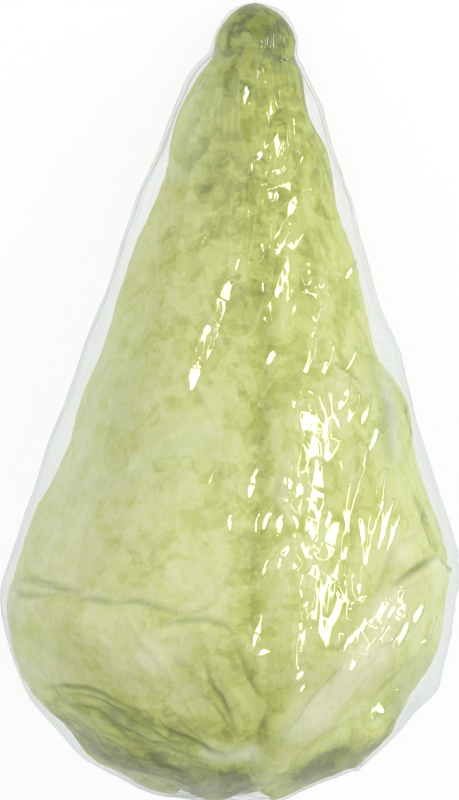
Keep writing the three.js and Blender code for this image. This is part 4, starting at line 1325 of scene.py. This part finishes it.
def film_material():
    """Clear stretched wrap, polyethylene: it mirrors lamps sharply at every crease, goes milky
    where it is doubled or stands off the leaves, and greys what is seen through it edge-on. A pale
    veil of reflection and fine sheen strokes are painted into its milkiness."""
    material, tree, place = new_material("clear stretch film")
    stretched = add_node(tree, "ShaderNodeMapping", {"Vector": place, "Scale": (1.0, 0.3, 1.0)})
    normal = rough_normals(tree, speckle(tree, stretched.outputs[0], 3.5, 3.0, 0.55), 0.14, 0.6)
    facing = add_node(tree, "ShaderNodeLayerWeight", {"Blend": 0.5, "Normal": normal})
    edge = maths(tree, "POWER", facing.outputs["Facing"], 3.5)
    mirror = maths(tree, "MULTIPLY_ADD", edge, 0.24, 0.082)
    milky_and_sheen = maths(tree, "ADD", attribute(tree, "milky_and_sheen"), maths(tree, "MULTIPLY", edge, 0.14))
    # painted sheen strokes, laid into the milkiness
    for turn, seed in FILM_STROKES:
        milky_and_sheen = maths(tree, "ADD", sheen_strokes(tree, place, turn, seed), milky_and_sheen)
    through = blended(tree, edge, linear(FILM_COLOUR), linear(FILM_EDGE_COLOUR))
    clear = add_node(tree, "ShaderNodeBsdfTransparent", {"Color": through})
    haze = add_node(tree, "ShaderNodeBsdfDiffuse", {"Color": linear(MILKY_AND_SHEEN_COLOUR)})
    gloss = add_node(
        tree, "ShaderNodeBsdfGlossy", {"Color": (1, 1, 1, 1), "Roughness": 0.06, "Normal": normal}
    )
    body = layers(tree, milky_and_sheen, clear.outputs[0], haze.outputs[0])
    skin = layers(tree, mirror, body, gloss.outputs[0])
    add_node(tree, "ShaderNodeOutputMaterial", {"Surface": skin})
    return material


# --- The stage --------------------------------------------------------------------------------

FRAME_LENGTH = 250.0  # millimetres of the head's length that fill the view's height
LENS, SENSOR = 120.0, 36.0
VIEW_MIDDLE = (-2.7, 125, 0)  # the place in the head's own frame that the camera looks at
LEAN = 2.5  # degrees that the head's tip leans to the right of the view
LAMP_TARGET = Vector((0, 0.02, 0.05))
KEY = (50, 8, 1.1)  # degrees to the side, degrees towards the tip, and metres away
KEY_SIZE = (1.2, 0.18)  # a long strip that lies along the head
FILL = (-34, 8, 1.5)
FILL_SIZE = (2.75, 1.9)  # so broad that its image in the film has no edge to see
SWEEP_SIZE = 3.0
SWEEP_LIT = 0.86  # how far the sweep paper is made plain white where it is seen


def camera_place():
    """The camera's turn and place: square over the head's tilted axis, its tip at the top."""
    turn = Euler((-TILT, 0, 0)).to_matrix() @ Matrix.Rotation(math.radians(LEAN), 3, "Z")
    away = FRAME_LENGTH * MM / 2 / (SENSOR / 2 / LENS)
    return turn, Vector(head_place(*VIEW_MIDDLE)) + turn @ Vector((0, 0, away))


def make_camera(scene):
    """The camera over the head."""
    data = bpy.data.cameras.new("camera")
    data.lens, data.sensor_width = LENS, SENSOR
    camera = bpy.data.objects.new("camera", data)
    turn, place = camera_place()
    camera.matrix_world = Matrix.Translation(place) @ turn.to_4x4()
    scene.collection.objects.link(camera)
    scene.camera = camera


def lamp_place(side, up, away):
    """A place seen from the head at an angle to the side and towards the tip, in degrees."""
    a, b = math.radians(side), math.radians(up)
    direction = Vector((math.sin(a) * math.cos(b), math.sin(b), math.cos(a) * math.cos(b)))
    return LAMP_TARGET + Euler((-TILT, 0, 0)).to_matrix() @ direction * away


def softbox(scene, name, place, size, power):
    """A rectangular lamp at a place, turned to the head."""
    data = bpy.data.lights.new(name, "AREA")
    data.shape, data.size, data.size_y, data.energy = "RECTANGLE", *size, power
    lamp = bpy.data.objects.new(name, data)
    lamp.location = place
    lamp.rotation_euler = (place - LAMP_TARGET).to_track_quat("Z", "Y").to_euler()
    scene.collection.objects.link(lamp)


def floor_material():
    """Matt white sweep paper: it shows white, and keeps the soft shadow under the head."""
    material, tree, place = new_material("white sweep paper")
    colour = ramp(tree, speckle(tree, place, 4, 2.0), [(0.3, "#f8f8f7"), (0.7, "#fcfcfb")])
    paper = add_node(tree, "ShaderNodeBsdfDiffuse", {"Color": colour})
    lit = add_node(tree, "ShaderNodeEmission", {"Color": (1, 1, 1, 1), "Strength": 1.0})
    path = add_node(tree, "ShaderNodeLightPath")
    seen = path.outputs["Is Camera Ray"]
    for ray in ("Is Glossy Ray", "Is Transmission Ray"):
        seen = maths(tree, "MAXIMUM", seen, path.outputs[ray])
    skin = layers(tree, maths(tree, "MULTIPLY", seen, SWEEP_LIT), paper.outputs[0], lit.outputs[0])
    add_node(tree, "ShaderNodeOutputMaterial", {"Surface": skin})
    return material


def make_world(scene, strength):
    """Even light from all round, plain white where the camera sees it."""
    world = bpy.data.worlds.new("soft studio")
    scene.world = world
    world.use_nodes = True
    tree = world.node_tree
    tree.nodes.clear()
    around = add_node(tree, "ShaderNodeBackground", {"Color": (1, 1, 1, 1), "Strength": strength})
    white = add_node(tree, "ShaderNodeBackground", {"Color": (1, 1, 1, 1), "Strength": 1.0})
    seen = add_node(tree, "ShaderNodeLightPath").outputs["Is Camera Ray"]
    sky = layers(tree, seen, around.outputs[0], white.outputs[0])
    add_node(tree, "ShaderNodeOutputWorld", {"Surface": sky})


# --- The add-on -------------------------------------------------------------------------------


class CabbageSettings(bpy.types.PropertyGroup):
    leaf_roughness: bpy.props.FloatProperty(
        name="Leaf roughness", description="How dull the leaves' wax is", default=0.5, min=0, max=1
    )
    world_light: bpy.props.FloatProperty(
        name="Surrounding light", description="Strength of the even light all round", default=0.6, min=0
    )
    key_power: bpy.props.FloatProperty(
        name="Key lamp", description="Power of the lamp that the film mirrors", default=6.5, unit="POWER"
    )
    fill_power: bpy.props.FloatProperty(
        name="Fill lamp", description="Power of the broad soft lamp", default=10.0, unit="POWER"
    )


class CABBAGE_OT_leaves(bpy.types.Operator):
    """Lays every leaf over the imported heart"""

    bl_idname = "cabbage.leaves"
    bl_label = "Leaves"

    def execute(self, context):
        roughness = context.scene.cabbage.leaf_roughness
        leaf = leaf_material("cabbage leaf", LEAF_COLOURS, roughness)
        for seed, (name, settings) in enumerate(LEAVES.items()):
            leaf_piece(name, settings, seed, leaf)
        heart_piece(leaf)
        return {"FINISHED"}


class CABBAGE_OT_stem(bpy.types.Operator):
    """Spins the cut stem"""

    bl_idname = "cabbage.stem"
    bl_label = "Cut stem"

    def execute(self, context):
        stem_piece(stem_material())
        return {"FINISHED"}


class CABBAGE_OT_film(bpy.types.Operator):
    """Stretches the clear film over the head"""

    bl_idname = "cabbage.film"
    bl_label = "Film wrap"

    def execute(self, context):
        film_piece(film_material())
        return {"FINISHED"}


class CABBAGE_OT_stage(bpy.types.Operator):
    """Sets the floor, lamps and camera"""

    bl_idname = "cabbage.stage"
    bl_label = "Stage"

    def execute(self, context):
        scene, settings = context.scene, context.scene.cabbage
        scene.view_settings.view_transform = "Standard"
        bm = bmesh.new()
        bmesh.ops.create_grid(bm, x_segments=4, y_segments=4, size=SWEEP_SIZE / 2)
        floor = new_piece("floor", bm)
        floor.data.materials.append(floor_material())
        make_camera(scene)
        make_world(scene, settings.world_light)
        softbox(scene, "key", lamp_place(*KEY), KEY_SIZE, settings.key_power)
        softbox(scene, "fill", lamp_place(*FILL), FILL_SIZE, settings.fill_power)
        return {"FINISHED"}


class CABBAGE_PT_panel(bpy.types.Panel):
    """Buttons for each group of pieces"""

    bl_label = "Pointed cabbage"
    bl_idname = "CABBAGE_PT_panel"
    bl_space_type = "VIEW_3D"
    bl_region_type = "UI"
    bl_category = "Cabbage"

    def draw(self, context):
        for name in CabbageSettings.__annotations__:
            self.layout.prop(context.scene.cabbage, name)
        for operator in OPERATORS:
            self.layout.operator(operator.bl_idname)


OPERATORS = (CABBAGE_OT_leaves, CABBAGE_OT_stem, CABBAGE_OT_film, CABBAGE_OT_stage)
CLASSES = (CabbageSettings, *OPERATORS, CABBAGE_PT_panel)


def register():
    for made in CLASSES:
        bpy.utils.register_class(made)
    bpy.types.Scene.cabbage = bpy.props.PointerProperty(type=CabbageSettings)


def unregister():
    del bpy.types.Scene.cabbage
    for made in reversed(CLASSES):
        bpy.utils.unregister_class(made)


def main():
    register()
    bpy.ops.cabbage.leaves()
    bpy.ops.cabbage.stem()
    bpy.ops.cabbage.film()
    bpy.ops.cabbage.stage()
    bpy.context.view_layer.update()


if __name__ == "__main__":
    main()
